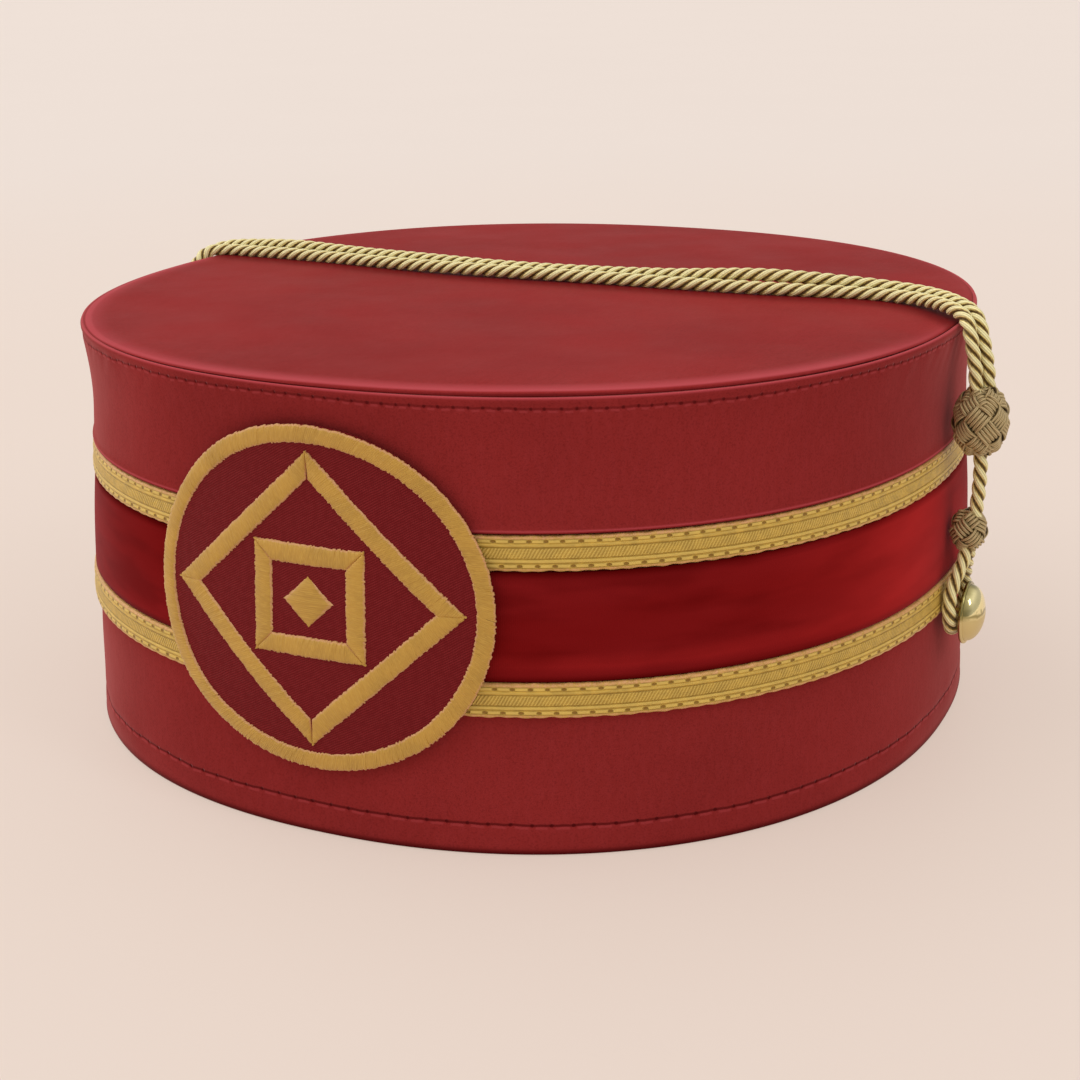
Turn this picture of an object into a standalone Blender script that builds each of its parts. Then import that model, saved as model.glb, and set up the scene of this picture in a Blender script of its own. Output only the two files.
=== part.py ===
"""A drum-shaped ceremonial cap: oval cloth wall, flat top, ribbon between two braids,
round badge in front, and a pair of rope cords over the crown to a button on each side.

Metres, +Z up. The origin is the middle of the bottom rim, the front of the cap faces -Y
and the side buttons lie on X. Blender 4.5: blender --background --python part.py
"""

import math

import bmesh
import bpy
import numpy as np
from mathutils import Vector

# The oval of the wall at the hem, and the wall itself
HALF_WIDTH = 0.094
HALF_LENGTH = 0.098
OVAL_POWER = 2.16  # 2 is an ellipse, more is squarer
CAP_HEIGHT = 0.085
WALL_THICKNESS = 0.002
WAIST_INSET = 0.0039  # how far the wall draws in at its narrowest
HEM_CHAMFER = 0.0005
CLEARANCE = 0.0003  # between pieces that rest on each other

# The top, which sits on a ledge inside the lip
TOP_THICKNESS = 0.0028
TOP_RISE = 0.0005  # how far the middle of the top stands above its edge
TOP_SHOULDER = 0.0016
TOP_BELOW_LIP = 0.0001
LIP_THICKNESS = 0.0007
LIP_BELOW_EDGE = 0.0008  # the wall's own lip, below the panel's upper edge
GROOVE_WIDTH = 0.0006

# The outer layers: cloth panel, braids and ribbon
PANEL_THICKNESS = 0.0009
PANEL_FOLD = 0.0004  # how far the folded lower edge stands proud
PANEL_ABOVE_BRAID = 0.0005
BRAID_WIDTH = 0.0064
BRAID_THICKNESS = 0.001
LOWER_BRAID_HEIGHT = CAP_HEIGHT * 0.319  # its lower edge
UPPER_BRAID_HEIGHT = CAP_HEIGHT * 0.635
BAND_THICKNESS = 0.0007

# The round badge on the front
BADGE_HALF_WIDTH = 0.0348
BADGE_HALF_HEIGHT = 0.0323
BADGE_HEIGHT = CAP_HEIGHT * 0.544  # its middle
BADGE_THICKNESS = 0.0012
BADGE_DROP = 0.0012  # how far its lower part settles towards the bare wall
STITCH_RISE = 0.0006  # how far the gold stitching stands proud of the field
GOLD_BAR = 0.0038
MOTIF_GAP = 0.0009  # between the gold shapes
DIAMOND_REACH = BADGE_HALF_HEIGHT - GOLD_BAR - MOTIF_GAP  # from the middle to a corner
SQUARE_REACH = DIAMOND_REACH / math.sqrt(2) - GOLD_BAR - MOTIF_GAP
LOZENGE_REACH = SQUARE_REACH * 0.32

# The fittings on each side, on a line just ahead of the middle
SIDE_LINE = HALF_LENGTH * -0.031
LARGE_KNOT_HEIGHT = CAP_HEIGHT * 0.781
LARGE_KNOT_RADIUS = 0.0063
LARGE_KNOT_HALF_HEIGHT = 0.00635
LARGE_KNOT_STAND = 0.0066  # from the panel's face to the knot's axis
SMALL_KNOT_HEIGHT = CAP_HEIGHT * 0.513
SMALL_KNOT_RADIUS = 0.0042
SMALL_KNOT_HALF_HEIGHT = 0.0038
SMALL_KNOT_STAND = 0.0042  # from the ribbon's face to the knot's axis
KNOT_FLATTENING = 0.9  # a knot's depth for its width
BUTTON_HEIGHT = CAP_HEIGHT * 0.307
BUTTON_AHEAD = 0.0006  # how far ahead of SIDE_LINE the shank is sewn on
BUTTON_RADIUS = 0.0065
BUTTON_RIM = 0.0009
BUTTON_DOME = 0.0032
SHANK_RADIUS = 0.0007
SHANK_LENGTH = 0.0043

# The cord
CORD_DIAMETER = 0.003
CORD_SPACING = 0.0034  # between the middles of the two cords of the pair

# The wall's sections: height as a share of CAP_HEIGHT, inset as a share of WAIST_INSET
WALL_SECTIONS = [
    (0.000, 0.00),
    (0.050, 0.03),
    (0.120, 0.13),
    (0.235, 0.21),
    (0.390, 0.36),
    (0.560, 0.58),
    (0.730, 0.87),
    (0.825, 1.00),
    (0.895, 0.92),
    (0.955, 0.74),
    (1.000, 0.62),
]

# The middle line of the pair over the crown, from the right large knot to the left one:
# x as a share of HALF_WIDTH, y as a share of HALF_LENGTH, the level, the bearing from the
# front cord to the rear one, and how steeply the rear one lies above it, both in degrees.
# Level 0 is the knot's top and 1 the lip. Above the lip, 0.5 more is half a cord's diameter.
PAIR_ROUTE = [
    (1.0435, -0.0310, 0.000, 57.0, 0.0),
    (1.0405, -0.0336, 0.291, 57.2, 0.0),
    (1.0336, -0.0339, 0.578, 58.8, -0.1),
    (1.0239, -0.0279, 0.855, 61.6, -0.1),
    (1.0121, -0.0146, 1.232, 64.1, 0.5),
    (0.9936, 0.0060, 1.660, 65.6, 1.9),
    (0.9726, 0.0286, 1.797, 66.5, 3.9),
    (0.9515, 0.0516, 1.855, 67.8, 6.2),
    (0.9263, 0.0778, 1.869, 70.4, 8.8),
    (0.8959, 0.1064, 1.836, 73.8, 11.1),
    (0.8536, 0.1371, 1.790, 77.0, 13.7),
    (0.7840, 0.1614, 1.762, 82.4, 18.4),
    (0.6992, 0.1640, 1.822, 89.6, 26.8),
    (0.5949, 0.1450, 1.959, 93.8, 40.0),
    (0.4682, 0.1307, 1.999, 91.9, 42.4),
    (0.2770, 0.1229, 1.825, 89.9, 19.1),
    (0.0644, 0.1144, 1.769, 90.0, 8.3),
    (-0.1482, 0.1091, 1.770, 90.0, 7.1),
    (-0.3607, 0.1198, 1.780, 87.9, 15.2),
    (-0.5194, 0.1351, 1.772, 87.0, 16.9),
    (-0.6757, 0.1505, 1.807, 88.5, 23.4),
    (-0.7498, 0.1577, 1.832, 90.4, 25.8),
    (-0.8132, 0.1642, 1.829, 92.3, 23.3),
    (-0.8660, 0.1706, 1.844, 95.1, 19.4),
    (-0.9083, 0.1751, 1.888, 99.1, 15.1),
    (-0.9454, 0.1750, 1.883, 104.0, 9.1),
    (-0.9760, 0.1680, 1.738, 108.8, 1.8),
    (-1.0004, 0.1529, 1.354, 113.6, -6.9),
    (-1.0136, 0.1330, 0.932, 117.5, -14.6),
    (-1.0199, 0.1114, 0.761, 120.5, -19.9),
    (-1.0244, 0.0881, 0.603, 123.1, -23.0),
    (-1.0290, 0.0633, 0.461, 125.6, -24.0),
    (-1.0340, 0.0381, 0.324, 128.5, -22.9),
    (-1.0389, 0.0151, 0.191, 131.4, -20.6),
    (-1.0435, -0.0060, 0.050, 134.0, -18.0),
]

# The cords down the right side. Each row is how far the cord's middle stands off the wall
# and how far ahead of SIDE_LINE it lies, both in cord diameters, and its share of the way down.
# From the large knot to the small one:
DROP_ROUTE = [
    (2.60, 0.00, 0.00),
    (2.58, 0.01, 0.25),
    (2.50, 0.03, 0.50),
    (2.38, 0.02, 0.75),
    (2.22, 0.00, 1.00),
]
# From the small knot, down and round the button's shank and back. Share 1 is the button's middle:
LOOP_ROUTE = [
    (1.66, 0.50, 0.020),
    (1.54, 0.75, 0.140),
    (1.36, 1.30, 0.290),
    (1.18, 1.80, 0.450),
    (1.06, 2.10, 0.620),
    (1.02, 2.17, 0.790),
    (0.99, 2.04, 0.950),
    (0.93, 1.68, 1.090),
    (0.86, 1.13, 1.195),
    (0.81, 0.44, 1.250),
    (0.80, -0.28, 1.250),
    (0.84, -0.97, 1.195),
    (0.91, -1.52, 1.090),
    (0.97, -1.88, 0.950),
    (1.01, -2.01, 0.790),
    (1.05, -1.93, 0.630),
    (1.14, -1.62, 0.470),
    (1.31, -1.20, 0.320),
    (1.50, -0.80, 0.170),
    (1.66, -0.50, 0.020),
]

# How finely round shapes are divided
AROUND_CAP = 64
AROUND_BADGE = 48
AROUND_KNOT = 12
AROUND_BUTTON = 16
CORD_STEP = 0.0042  # between the points of a cord's tube

SMOOTH_ANGLE = math.radians(40)
FRONT = -math.pi / 2


# Shape of the wall
def wall_inset(z):
    """How far the wall's face is drawn in from the hem's oval at this height."""
    heights = [share * CAP_HEIGHT for share, _ in WALL_SECTIONS]
    insets = [share * WAIST_INSET for _, share in WALL_SECTIONS]
    return float(np.interp(z, heights, insets))


def oval_point(angle, z, stand):
    """A point that stands this far off the wall's face, at an angle round the cap."""
    offset = stand - wall_inset(z)
    across = abs(math.cos(angle) / (HALF_WIDTH + offset)) ** OVAL_POWER
    along = abs(math.sin(angle) / (HALF_LENGTH + offset)) ** OVAL_POWER
    radius = (across + along) ** (-1 / OVAL_POWER)
    return Vector((radius * math.cos(angle), radius * math.sin(angle), z))


def section_heights(low, high):
    """The heights of the wall's sections that lie between two heights."""
    return [share * CAP_HEIGHT for share, _ in WALL_SECTIONS if low < share * CAP_HEIGHT < high]


def side_face(y, z, stand):
    """How far out in X the wall's face lies on the right side, plus the stand."""
    offset = stand - wall_inset(z)
    rest = 1 - abs(y / (HALF_LENGTH + offset)) ** OVAL_POWER
    return (HALF_WIDTH + offset) * rest ** (1 / OVAL_POWER)


# Materials
def make_material(name, colour, roughness, metallic=0.0):
    material = bpy.data.materials.new(name)
    material.use_nodes = True
    shader = material.node_tree.nodes["Principled BSDF"]
    shader.inputs["Base Color"].default_value = (*colour, 1)
    shader.inputs["Roughness"].default_value = roughness
    shader.inputs["Metallic"].default_value = metallic
    return material


def make_materials():
    return {
        "wall_cloth": make_material("wall_cloth", (0.26, 0.022, 0.026), 0.5),
        "top_cloth": make_material("top_cloth", (0.33, 0.045, 0.045), 0.48),
        "panel_cloth": make_material("panel_cloth", (0.27, 0.023, 0.026), 0.5),
        "ribbon": make_material("ribbon", (0.19, 0.006, 0.010), 0.42),
        "braid": make_material("braid", (0.52, 0.31, 0.08), 0.45, 0.3),
        "twill": make_material("twill", (0.17, 0.012, 0.018), 0.8),
        "gold_thread": make_material("gold_thread", (0.54, 0.29, 0.06), 0.5, 0.1),
        "rope": make_material("rope", (0.76, 0.60, 0.25), 0.4, 0.3),
        "knot_thread": make_material("knot_thread", (0.36, 0.27, 0.12), 0.55, 0.2),
        "brass": make_material("brass", (0.83, 0.62, 0.22), 0.18, 1.0),
    }


# Building blocks
def add_object(name, data, material):
    data.materials.append(material)
    thing = bpy.data.objects.new(name, data)
    bpy.context.scene.collection.objects.link(thing)
    return thing


def mesh_object(name, bm, material):
    bmesh.ops.recalc_face_normals(bm, faces=bm.faces)
    mesh = bpy.data.meshes.new(name)
    bm.to_mesh(mesh)
    bm.free()
    mesh.shade_smooth()
    mesh.set_sharp_from_angle(angle=SMOOTH_ANGLE)
    return add_object(name, mesh, material)


def row_of_points(bm, points):
    return [bm.verts.new(p) for p in points]


def join_rows(bm, rows, closed):
    """Faces from each closed row of vertices to the next, and the last to the first if closed."""
    pairs = list(zip(rows, rows[1:]))
    if closed:
        pairs.append((rows[-1], rows[0]))
    for first, second in pairs:
        for i in range(len(first)):
            bm.faces.new((first[i - 1], first[i], second[i], second[i - 1]))


def close_end(bm, row, tip):
    """A fan of faces from a row of vertices to one point."""
    middle = bm.verts.new(tip)
    for i in range(len(row)):
        bm.faces.new((row[i - 1], row[i], middle))


def ring_round_cap(name, profile, material):
    """A closed ring round the cap, from its section: rows of stand off the wall and height."""
    bm = bmesh.new()
    angles = [2 * math.pi * i / AROUND_CAP for i in range(AROUND_CAP)]
    rows = [row_of_points(bm, [oval_point(a, z, stand) for a in angles]) for stand, z in profile]
    join_rows(bm, rows, closed=True)
    return mesh_object(name, bm, material)


def turned(name, profile, around, material, centre, to_axes):
    """A turned solid. The profile has rows of radius and place along the axis."""
    bm = bmesh.new()
    turns = [2 * math.pi * i / around for i in range(around)]
    rows = []
    for radius, along in profile[1:-1]:
        ring = [Vector((radius * math.cos(t), radius * math.sin(t), along)) for t in turns]
        rows.append(row_of_points(bm, [centre + to_axes(p) for p in ring]))
    join_rows(bm, rows, closed=False)
    close_end(bm, rows[0], centre + to_axes(Vector((0, 0, profile[0][1]))))
    close_end(bm, rows[-1], centre + to_axes(Vector((0, 0, profile[-1][1]))))
    return mesh_object(name, bm, material)


# The crown
def make_crown_wall(materials):
    lip_top = CAP_HEIGHT - LIP_BELOW_EDGE
    ledge = top_underside() - CLEARANCE
    outside = [(0, z) for z in section_heights(HEM_CHAMFER, lip_top)]
    inside = [(-WALL_THICKNESS, z) for z in section_heights(HEM_CHAMFER, ledge)]
    profile = [
        (-HEM_CHAMFER, 0),
        (0, HEM_CHAMFER),
        *outside,
        (0, lip_top),
        (-LIP_THICKNESS, lip_top),
        (-LIP_THICKNESS, ledge),
        (-WALL_THICKNESS, ledge),
        *reversed(inside),
        (-WALL_THICKNESS, HEM_CHAMFER),
        (-WALL_THICKNESS + HEM_CHAMFER, 0),
    ]
    return ring_round_cap("crown_wall", profile, materials["wall_cloth"])


def top_underside():
    return CAP_HEIGHT - TOP_BELOW_LIP - TOP_THICKNESS


def make_crown_top(materials):
    """The flat top: turned rows round the oval, then closed above and below."""
    edge_stand = -LIP_THICKNESS - GROOVE_WIDTH
    low = top_underside()
    high = CAP_HEIGHT - TOP_BELOW_LIP
    bm = bmesh.new()
    angles = [2 * math.pi * i / AROUND_CAP for i in range(AROUND_CAP)]

    def oval_row(z, share, inset):
        points = [oval_point(a, CAP_HEIGHT, edge_stand - inset) for a in angles]
        return row_of_points(bm, [Vector((p.x * share, p.y * share, z)) for p in points])

    curved = TOP_SHOULDER * (1 - math.sqrt(0.5))
    rows = [
        oval_row(low, 1, 0),
        oval_row(high - TOP_SHOULDER, 1, 0),
        oval_row(high - curved, 1, curved),
        oval_row(high, 1, TOP_SHOULDER),
        oval_row(high + TOP_RISE * 0.45, 0.75, 0),
        oval_row(high + TOP_RISE * 0.85, 0.4, 0),
    ]
    join_rows(bm, rows, closed=False)
    close_end(bm, rows[0], Vector((0, 0, low)))
    close_end(bm, rows[-1], Vector((0, 0, high + TOP_RISE)))
    return mesh_object("crown_top", bm, materials["top_cloth"])


def make_upper_panel(materials):
    """The upper layer of cloth, with its folded edge above the upper braid."""
    low = UPPER_BRAID_HEIGHT + BRAID_WIDTH + PANEL_ABOVE_BRAID
    back = CLEARANCE
    face = CLEARANCE + PANEL_THICKNESS
    heights = section_heights(low + PANEL_THICKNESS * 2, CAP_HEIGHT - PANEL_THICKNESS)
    profile = [
        (back, low),
        (face, low),
        (face + PANEL_FOLD, low + PANEL_THICKNESS * 0.6),
        (face, low + PANEL_THICKNESS * 1.8),
        *[(face, z) for z in heights],
        (face, CAP_HEIGHT - PANEL_THICKNESS / 2),
        (face - PANEL_THICKNESS / 3, CAP_HEIGHT),
        (back, CAP_HEIGHT - PANEL_THICKNESS / 4),
        *[(back, z) for z in reversed(heights)],
    ]
    return ring_round_cap("upper_panel", profile, materials["panel_cloth"])


def make_braid(name, low, materials):
    """A flat woven braid with thinner edges."""
    edge = CLEARANCE + BRAID_THICKNESS * 0.6
    face = CLEARANCE + BRAID_THICKNESS
    high = low + BRAID_WIDTH
    profile = [
        (CLEARANCE, low),
        (edge, low),
        (face, low + BRAID_WIDTH * 0.14),
        (face, high - BRAID_WIDTH * 0.14),
        (edge, high),
        (CLEARANCE, high),
    ]
    return ring_round_cap(name, profile, materials["braid"])


def make_velvet_band(materials):
    low = LOWER_BRAID_HEIGHT + BRAID_WIDTH + CLEARANCE
    high = UPPER_BRAID_HEIGHT - CLEARANCE
    middle = (low + high) / 2
    face = CLEARANCE + BAND_THICKNESS
    profile = [
        (CLEARANCE, low),
        (face, low),
        (face, middle),
        (face, high),
        (CLEARANCE, high),
        (CLEARANCE, middle),
    ]
    return ring_round_cap("velvet_band", profile, materials["ribbon"])


# The badge
def arc_table():
    """Angles round the front of the cap and the distance from its middle along the wall."""
    angles = np.linspace(FRONT - 1.2, FRONT + 1.2, 481)
    points = np.array([oval_point(a, BADGE_HEIGHT, badge_back(BADGE_HEIGHT)) for a in angles])
    steps = np.linalg.norm(np.diff(points, axis=0), axis=1)
    along = np.concatenate([[0], np.cumsum(steps)])
    return angles, along - np.interp(FRONT, angles, along)


def badge_back(z):
    """How far the badge's back stands off the wall. Below the braid it leans in to the wall."""
    over_layers = 2 * CLEARANCE + max(BRAID_THICKNESS, PANEL_THICKNESS + PANEL_FOLD)
    free = LOWER_BRAID_HEIGHT - CLEARANCE
    lowest = BADGE_HEIGHT - BADGE_HALF_HEIGHT
    share = (free - z) / (free - lowest)
    return over_layers - BADGE_DROP * min(max(share, 0), 1)


class BadgeSurface:
    """Places points of the badge's flat design on the curved front of the cap."""

    def __init__(self):
        self.angles, self.along = arc_table()

    def place(self, across, up, stand):
        z = BADGE_HEIGHT + up
        angle = float(np.interp(across, self.along, self.angles))
        return oval_point(angle, z, badge_back(z) + stand)

    def place_all(self, outline, stand):
        return [self.place(across, up, stand) for across, up in outline]


def round_outline(width, share=1.0):
    """The badge's outline, drawn in by a width, then taken at a share of that."""
    turns = [2 * math.pi * i / AROUND_BADGE for i in range(AROUND_BADGE)]
    wide = (BADGE_HALF_WIDTH - width) * share
    tall = (BADGE_HALF_HEIGHT - width) * share
    return [(wide * math.cos(t), tall * math.sin(t)) for t in turns]


def square_outline(reach, turned_by, pieces):
    """A square's outline, each side in several pieces, from its middle-to-corner reach."""
    stretch = BADGE_HALF_WIDTH / BADGE_HALF_HEIGHT
    corners = [turned_by + math.pi / 2 * i for i in range(4)]
    points = []
    for first in corners:
        second = first + math.pi / 2
        for i in range(pieces):
            share = i / pieces
            across = math.cos(first) * (1 - share) + math.cos(second) * share
            up = math.sin(first) * (1 - share) + math.sin(second) * share
            points.append((reach * across * stretch, reach * up))
    return points


def raised_frame(name, surface, outer, inner, foot, top, material):
    """A closed strip of the badge between two outlines, from its foot up to its top."""
    bm = bmesh.new()
    lines = [(outer, foot), (outer, top), (inner, top), (inner, foot)]
    rows = [row_of_points(bm, surface.place_all(line, stand)) for line, stand in lines]
    join_rows(bm, rows, closed=True)
    return mesh_object(name, bm, material)


def filled_patch(name, surface, outlines, foot, top, material):
    """A filled piece of the badge, from outlines that run from its rim to its middle."""
    bm = bmesh.new()
    lines = [(line, foot) for line in reversed(outlines)] + [(line, top) for line in outlines]
    rows = [row_of_points(bm, surface.place_all(line, stand)) for line, stand in lines]
    join_rows(bm, rows, closed=False)
    close_end(bm, rows[0], surface.place(0, 0, foot))
    close_end(bm, rows[-1], surface.place(0, 0, top))
    return mesh_object(name, bm, material)


def make_badge(materials):
    surface = BadgeSurface()
    gold = materials["gold_thread"]
    foot = BADGE_THICKNESS + CLEARANCE
    top = foot + STITCH_RISE
    rim = round_outline(0)
    within = [round_outline(GOLD_BAR, share) for share in (1, 0.8, 0.6, 0.4, 0.2)]
    filled_patch("badge_field", surface, [rim, *within], 0, BADGE_THICKNESS, materials["twill"])
    raised_frame("badge_ring", surface, rim, within[0], foot, top, gold)
    for name, reach, turned_by, pieces in (
        ("badge_diamond", DIAMOND_REACH, 0, 6),
        ("badge_square", SQUARE_REACH, math.pi / 4, 4),
    ):
        outer = square_outline(reach, turned_by, pieces)
        inner = square_outline(reach - GOLD_BAR * math.sqrt(2), turned_by, pieces)
        raised_frame(name, surface, outer, inner, foot, top, gold)
    lozenge = [square_outline(LOZENGE_REACH, 0, 2)]
    filled_patch("badge_lozenge", surface, lozenge, foot, top, gold)


# Cords
def smooth_through(route):
    """Many points on a smooth curve that passes through the route's own points."""
    points = [Vector(p) for p in route]
    points = [points[0] * 2 - points[1], *points, points[-1] * 2 - points[-2]]
    fine = []
    for a, b, c, d in zip(points, points[1:], points[2:], points[3:]):
        for i in range(16):
            t = i / 16
            fine.append(0.5 * (2 * b + (c - a) * t + (2 * a - 5 * b + 4 * c - d) * t * t
                               + (3 * b - a - 3 * c + d) * t ** 3))
    fine.append(points[-2])
    return fine


def evenly_spaced(points, step):
    """The same line again, with points about this far apart."""
    line = np.array(points)
    lengths = np.linalg.norm(np.diff(line, axis=0), axis=1)
    along = np.concatenate([[0], np.cumsum(lengths)])
    at = np.linspace(0, along[-1], max(2, round(along[-1] / step)) + 1)
    return np.stack([np.interp(at, along, line[:, k]) for k in range(3)], axis=1)


def make_cord(name, route, step, materials):
    curve = bpy.data.curves.new(name, "CURVE")
    curve.dimensions = "3D"
    curve.bevel_depth = CORD_DIAMETER / 2
    curve.bevel_resolution = 2
    curve.use_fill_caps = True
    points = evenly_spaced(smooth_through(route), step)
    spline = curve.splines.new("POLY")
    spline.points.add(len(points) - 1)
    for spot, point in zip(spline.points, points):
        spot.co = (*point, 1)
    return add_object(name, curve, materials["rope"])


def pair_height(level):
    knot_top = LARGE_KNOT_HEIGHT + LARGE_KNOT_HALF_HEIGHT + CLEARANCE
    below_lip = (CAP_HEIGHT - knot_top) * min(level, 1)
    return knot_top + below_lip + CORD_DIAMETER * max(level - 1, 0)


def beside_pair(side):
    """One cord's route, half the pair's spacing to one side of the pair's middle line."""
    route = []
    for across, along, level, bearing, steepness in PAIR_ROUTE:
        turn = math.radians(bearing)
        rise = math.radians(steepness)
        reach = side * CORD_SPACING / 2
        x = HALF_WIDTH * across + reach * math.cos(rise) * math.cos(turn)
        y = HALF_LENGTH * along + reach * math.cos(rise) * math.sin(turn)
        route.append((x, y, pair_height(level) + reach * math.sin(rise)))
    return route


def down_side(rows, start, end):
    """A route down the right side, from its rows and the heights of shares 0 and 1."""
    route = []
    for stand, ahead, share in rows:
        y = SIDE_LINE - CORD_DIAMETER * ahead
        z = start + (end - start) * share
        route.append((side_face(y, z, CORD_DIAMETER * stand), y, z))
    return route


def mirrored(route):
    return [(-x, y, z) for x, y, z in route]


def make_cords(materials):
    make_cord("crown_cord_front", beside_pair(-1), CORD_STEP, materials)
    make_cord("crown_cord_rear", beside_pair(1), CORD_STEP, materials)
    large_foot = LARGE_KNOT_HEIGHT - LARGE_KNOT_HALF_HEIGHT - CLEARANCE
    small_top = SMALL_KNOT_HEIGHT + SMALL_KNOT_HALF_HEIGHT + CLEARANCE
    small_foot = SMALL_KNOT_HEIGHT - SMALL_KNOT_HALF_HEIGHT - CLEARANCE
    drop = down_side(DROP_ROUTE, large_foot, small_top)
    loop = down_side(LOOP_ROUTE, small_foot, BUTTON_HEIGHT)
    for side, place in (("right", list), ("left", mirrored)):
        make_cord(f"drop_cord_{side}", place(drop), CORD_DIAMETER, materials)
        make_cord(f"loop_cord_{side}", place(loop), CORD_DIAMETER, materials)


# Knots and buttons
def make_knot(name, radius, half_height, centre, materials):
    """A barrel-shaped knot with flat ends where the cords meet it."""
    profile = [
        (0, -half_height),
        (radius * 0.55, -half_height),
        (radius * 0.86, -half_height * 0.72),
        (radius, -half_height * 0.26),
        (radius, half_height * 0.26),
        (radius * 0.86, half_height * 0.72),
        (radius * 0.55, half_height),
        (0, half_height),
    ]

    def flattened(point):
        return Vector((point.x * KNOT_FLATTENING, point.y, point.z))

    return turned(name, profile, AROUND_KNOT, materials["knot_thread"], centre, flattened)


def make_button(name, sign, materials):
    """A domed button on its shank, with its axis along X."""
    back = SHANK_LENGTH
    rim_top = back + BUTTON_RIM
    dome = [(math.sin(a), math.cos(a)) for a in (1.3, 1.0, 0.7, 0.35)]
    profile = [
        (0, 0),
        (SHANK_RADIUS, 0),
        (SHANK_RADIUS, back),
        (BUTTON_RADIUS - BUTTON_RIM / 2, back),
        (BUTTON_RADIUS, back + BUTTON_RIM / 2),
        (BUTTON_RADIUS, rim_top),
        *[(BUTTON_RADIUS * wide, rim_top + BUTTON_DOME * deep) for wide, deep in dome],
        (0, rim_top + BUTTON_DOME),
    ]
    sewn_at = SIDE_LINE - BUTTON_AHEAD
    face = side_face(sewn_at, BUTTON_HEIGHT, CLEARANCE)
    centre = Vector((sign * face, sewn_at, BUTTON_HEIGHT))

    def along_x(point):
        return Vector((sign * point.z, point.x, point.y))

    return turned(name, profile, AROUND_BUTTON, materials["brass"], centre, along_x)


def make_side_fittings(materials):
    panel_face = CLEARANCE + PANEL_THICKNESS
    band_face = CLEARANCE + BAND_THICKNESS
    for side, sign in (("right", 1), ("left", -1)):
        stand = panel_face + LARGE_KNOT_STAND
        out = side_face(SIDE_LINE, LARGE_KNOT_HEIGHT, stand)
        centre = Vector((sign * out, SIDE_LINE, LARGE_KNOT_HEIGHT))
        make_knot(f"large_knot_{side}", LARGE_KNOT_RADIUS, LARGE_KNOT_HALF_HEIGHT, centre, materials)
        stand = band_face + SMALL_KNOT_STAND
        out = side_face(SIDE_LINE, SMALL_KNOT_HEIGHT, stand)
        centre = Vector((sign * out, SIDE_LINE, SMALL_KNOT_HEIGHT))
        make_knot(f"small_knot_{side}", SMALL_KNOT_RADIUS, SMALL_KNOT_HALF_HEIGHT, centre, materials)
        make_button(f"button_{side}", sign, materials)


def main():
    for thing in list(bpy.data.objects):
        bpy.data.objects.remove(thing)
    materials = make_materials()
    make_crown_wall(materials)
    make_crown_top(materials)
    make_upper_panel(materials)
    make_braid("lower_braid", LOWER_BRAID_HEIGHT, materials)
    make_braid("upper_braid", UPPER_BRAID_HEIGHT, materials)
    make_velvet_band(materials)
    make_badge(materials)
    make_side_fittings(materials)
    make_cords(materials)


main()
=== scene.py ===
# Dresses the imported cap: cloth, ribbon, gold lace, badge, rope cords, woven knots and brass buttons.
# Metres, +Z up, the front of the cap faces -Y. Run in Blender 4.5 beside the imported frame.

import math
from functools import partial
import bpy
import numpy as np
from mathutils import Matrix, Vector


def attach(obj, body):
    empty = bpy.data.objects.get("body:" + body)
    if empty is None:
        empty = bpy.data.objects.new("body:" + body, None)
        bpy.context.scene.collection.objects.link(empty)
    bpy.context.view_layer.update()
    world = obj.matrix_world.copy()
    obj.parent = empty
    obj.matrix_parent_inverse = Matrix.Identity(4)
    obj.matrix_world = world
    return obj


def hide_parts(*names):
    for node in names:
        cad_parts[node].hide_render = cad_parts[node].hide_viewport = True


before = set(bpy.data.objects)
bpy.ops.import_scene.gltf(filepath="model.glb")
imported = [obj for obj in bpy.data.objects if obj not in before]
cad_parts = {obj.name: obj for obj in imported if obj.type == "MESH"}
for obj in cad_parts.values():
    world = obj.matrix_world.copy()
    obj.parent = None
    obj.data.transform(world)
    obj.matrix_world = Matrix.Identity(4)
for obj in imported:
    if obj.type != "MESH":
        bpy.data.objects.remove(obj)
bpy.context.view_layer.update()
print("frame loaded:", len(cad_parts), "nodes")

# the camera, as the photograph was taken
camera = {
    "turn": 24.61,      # degrees round from the front
    "rise": 18.04,
    "roll": -0.57,
    "distance": 0.42998,
    "target": (0.00030, 0.00014, 0.02815),
    "lens": 63.31,
    "sensor": 36,
    "nearest": 0.01,
}


def makeCamera():
    turn, rise, roll = (math.radians(camera[k]) for k in ("turn", "rise", "roll"))
    bpy.ops.object.camera_add()
    cam = bpy.context.object
    cam.name = "photoCamera"
    cam.data.lens = camera["lens"]
    cam.data.sensor_width = camera["sensor"]
    cam.data.clip_start = camera["nearest"]
    cam.matrix_world = (Matrix.Translation(camera["target"]) @ Matrix.Rotation(turn, 4, "Z")
                        @ Matrix.Rotation(math.pi / 2 - rise, 4, "X") @ Matrix.Rotation(roll, 4, "Z")
                        @ Matrix.Translation((0, 0, camera["distance"])))
    bpy.context.scene.camera = cam


makeCamera()

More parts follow.
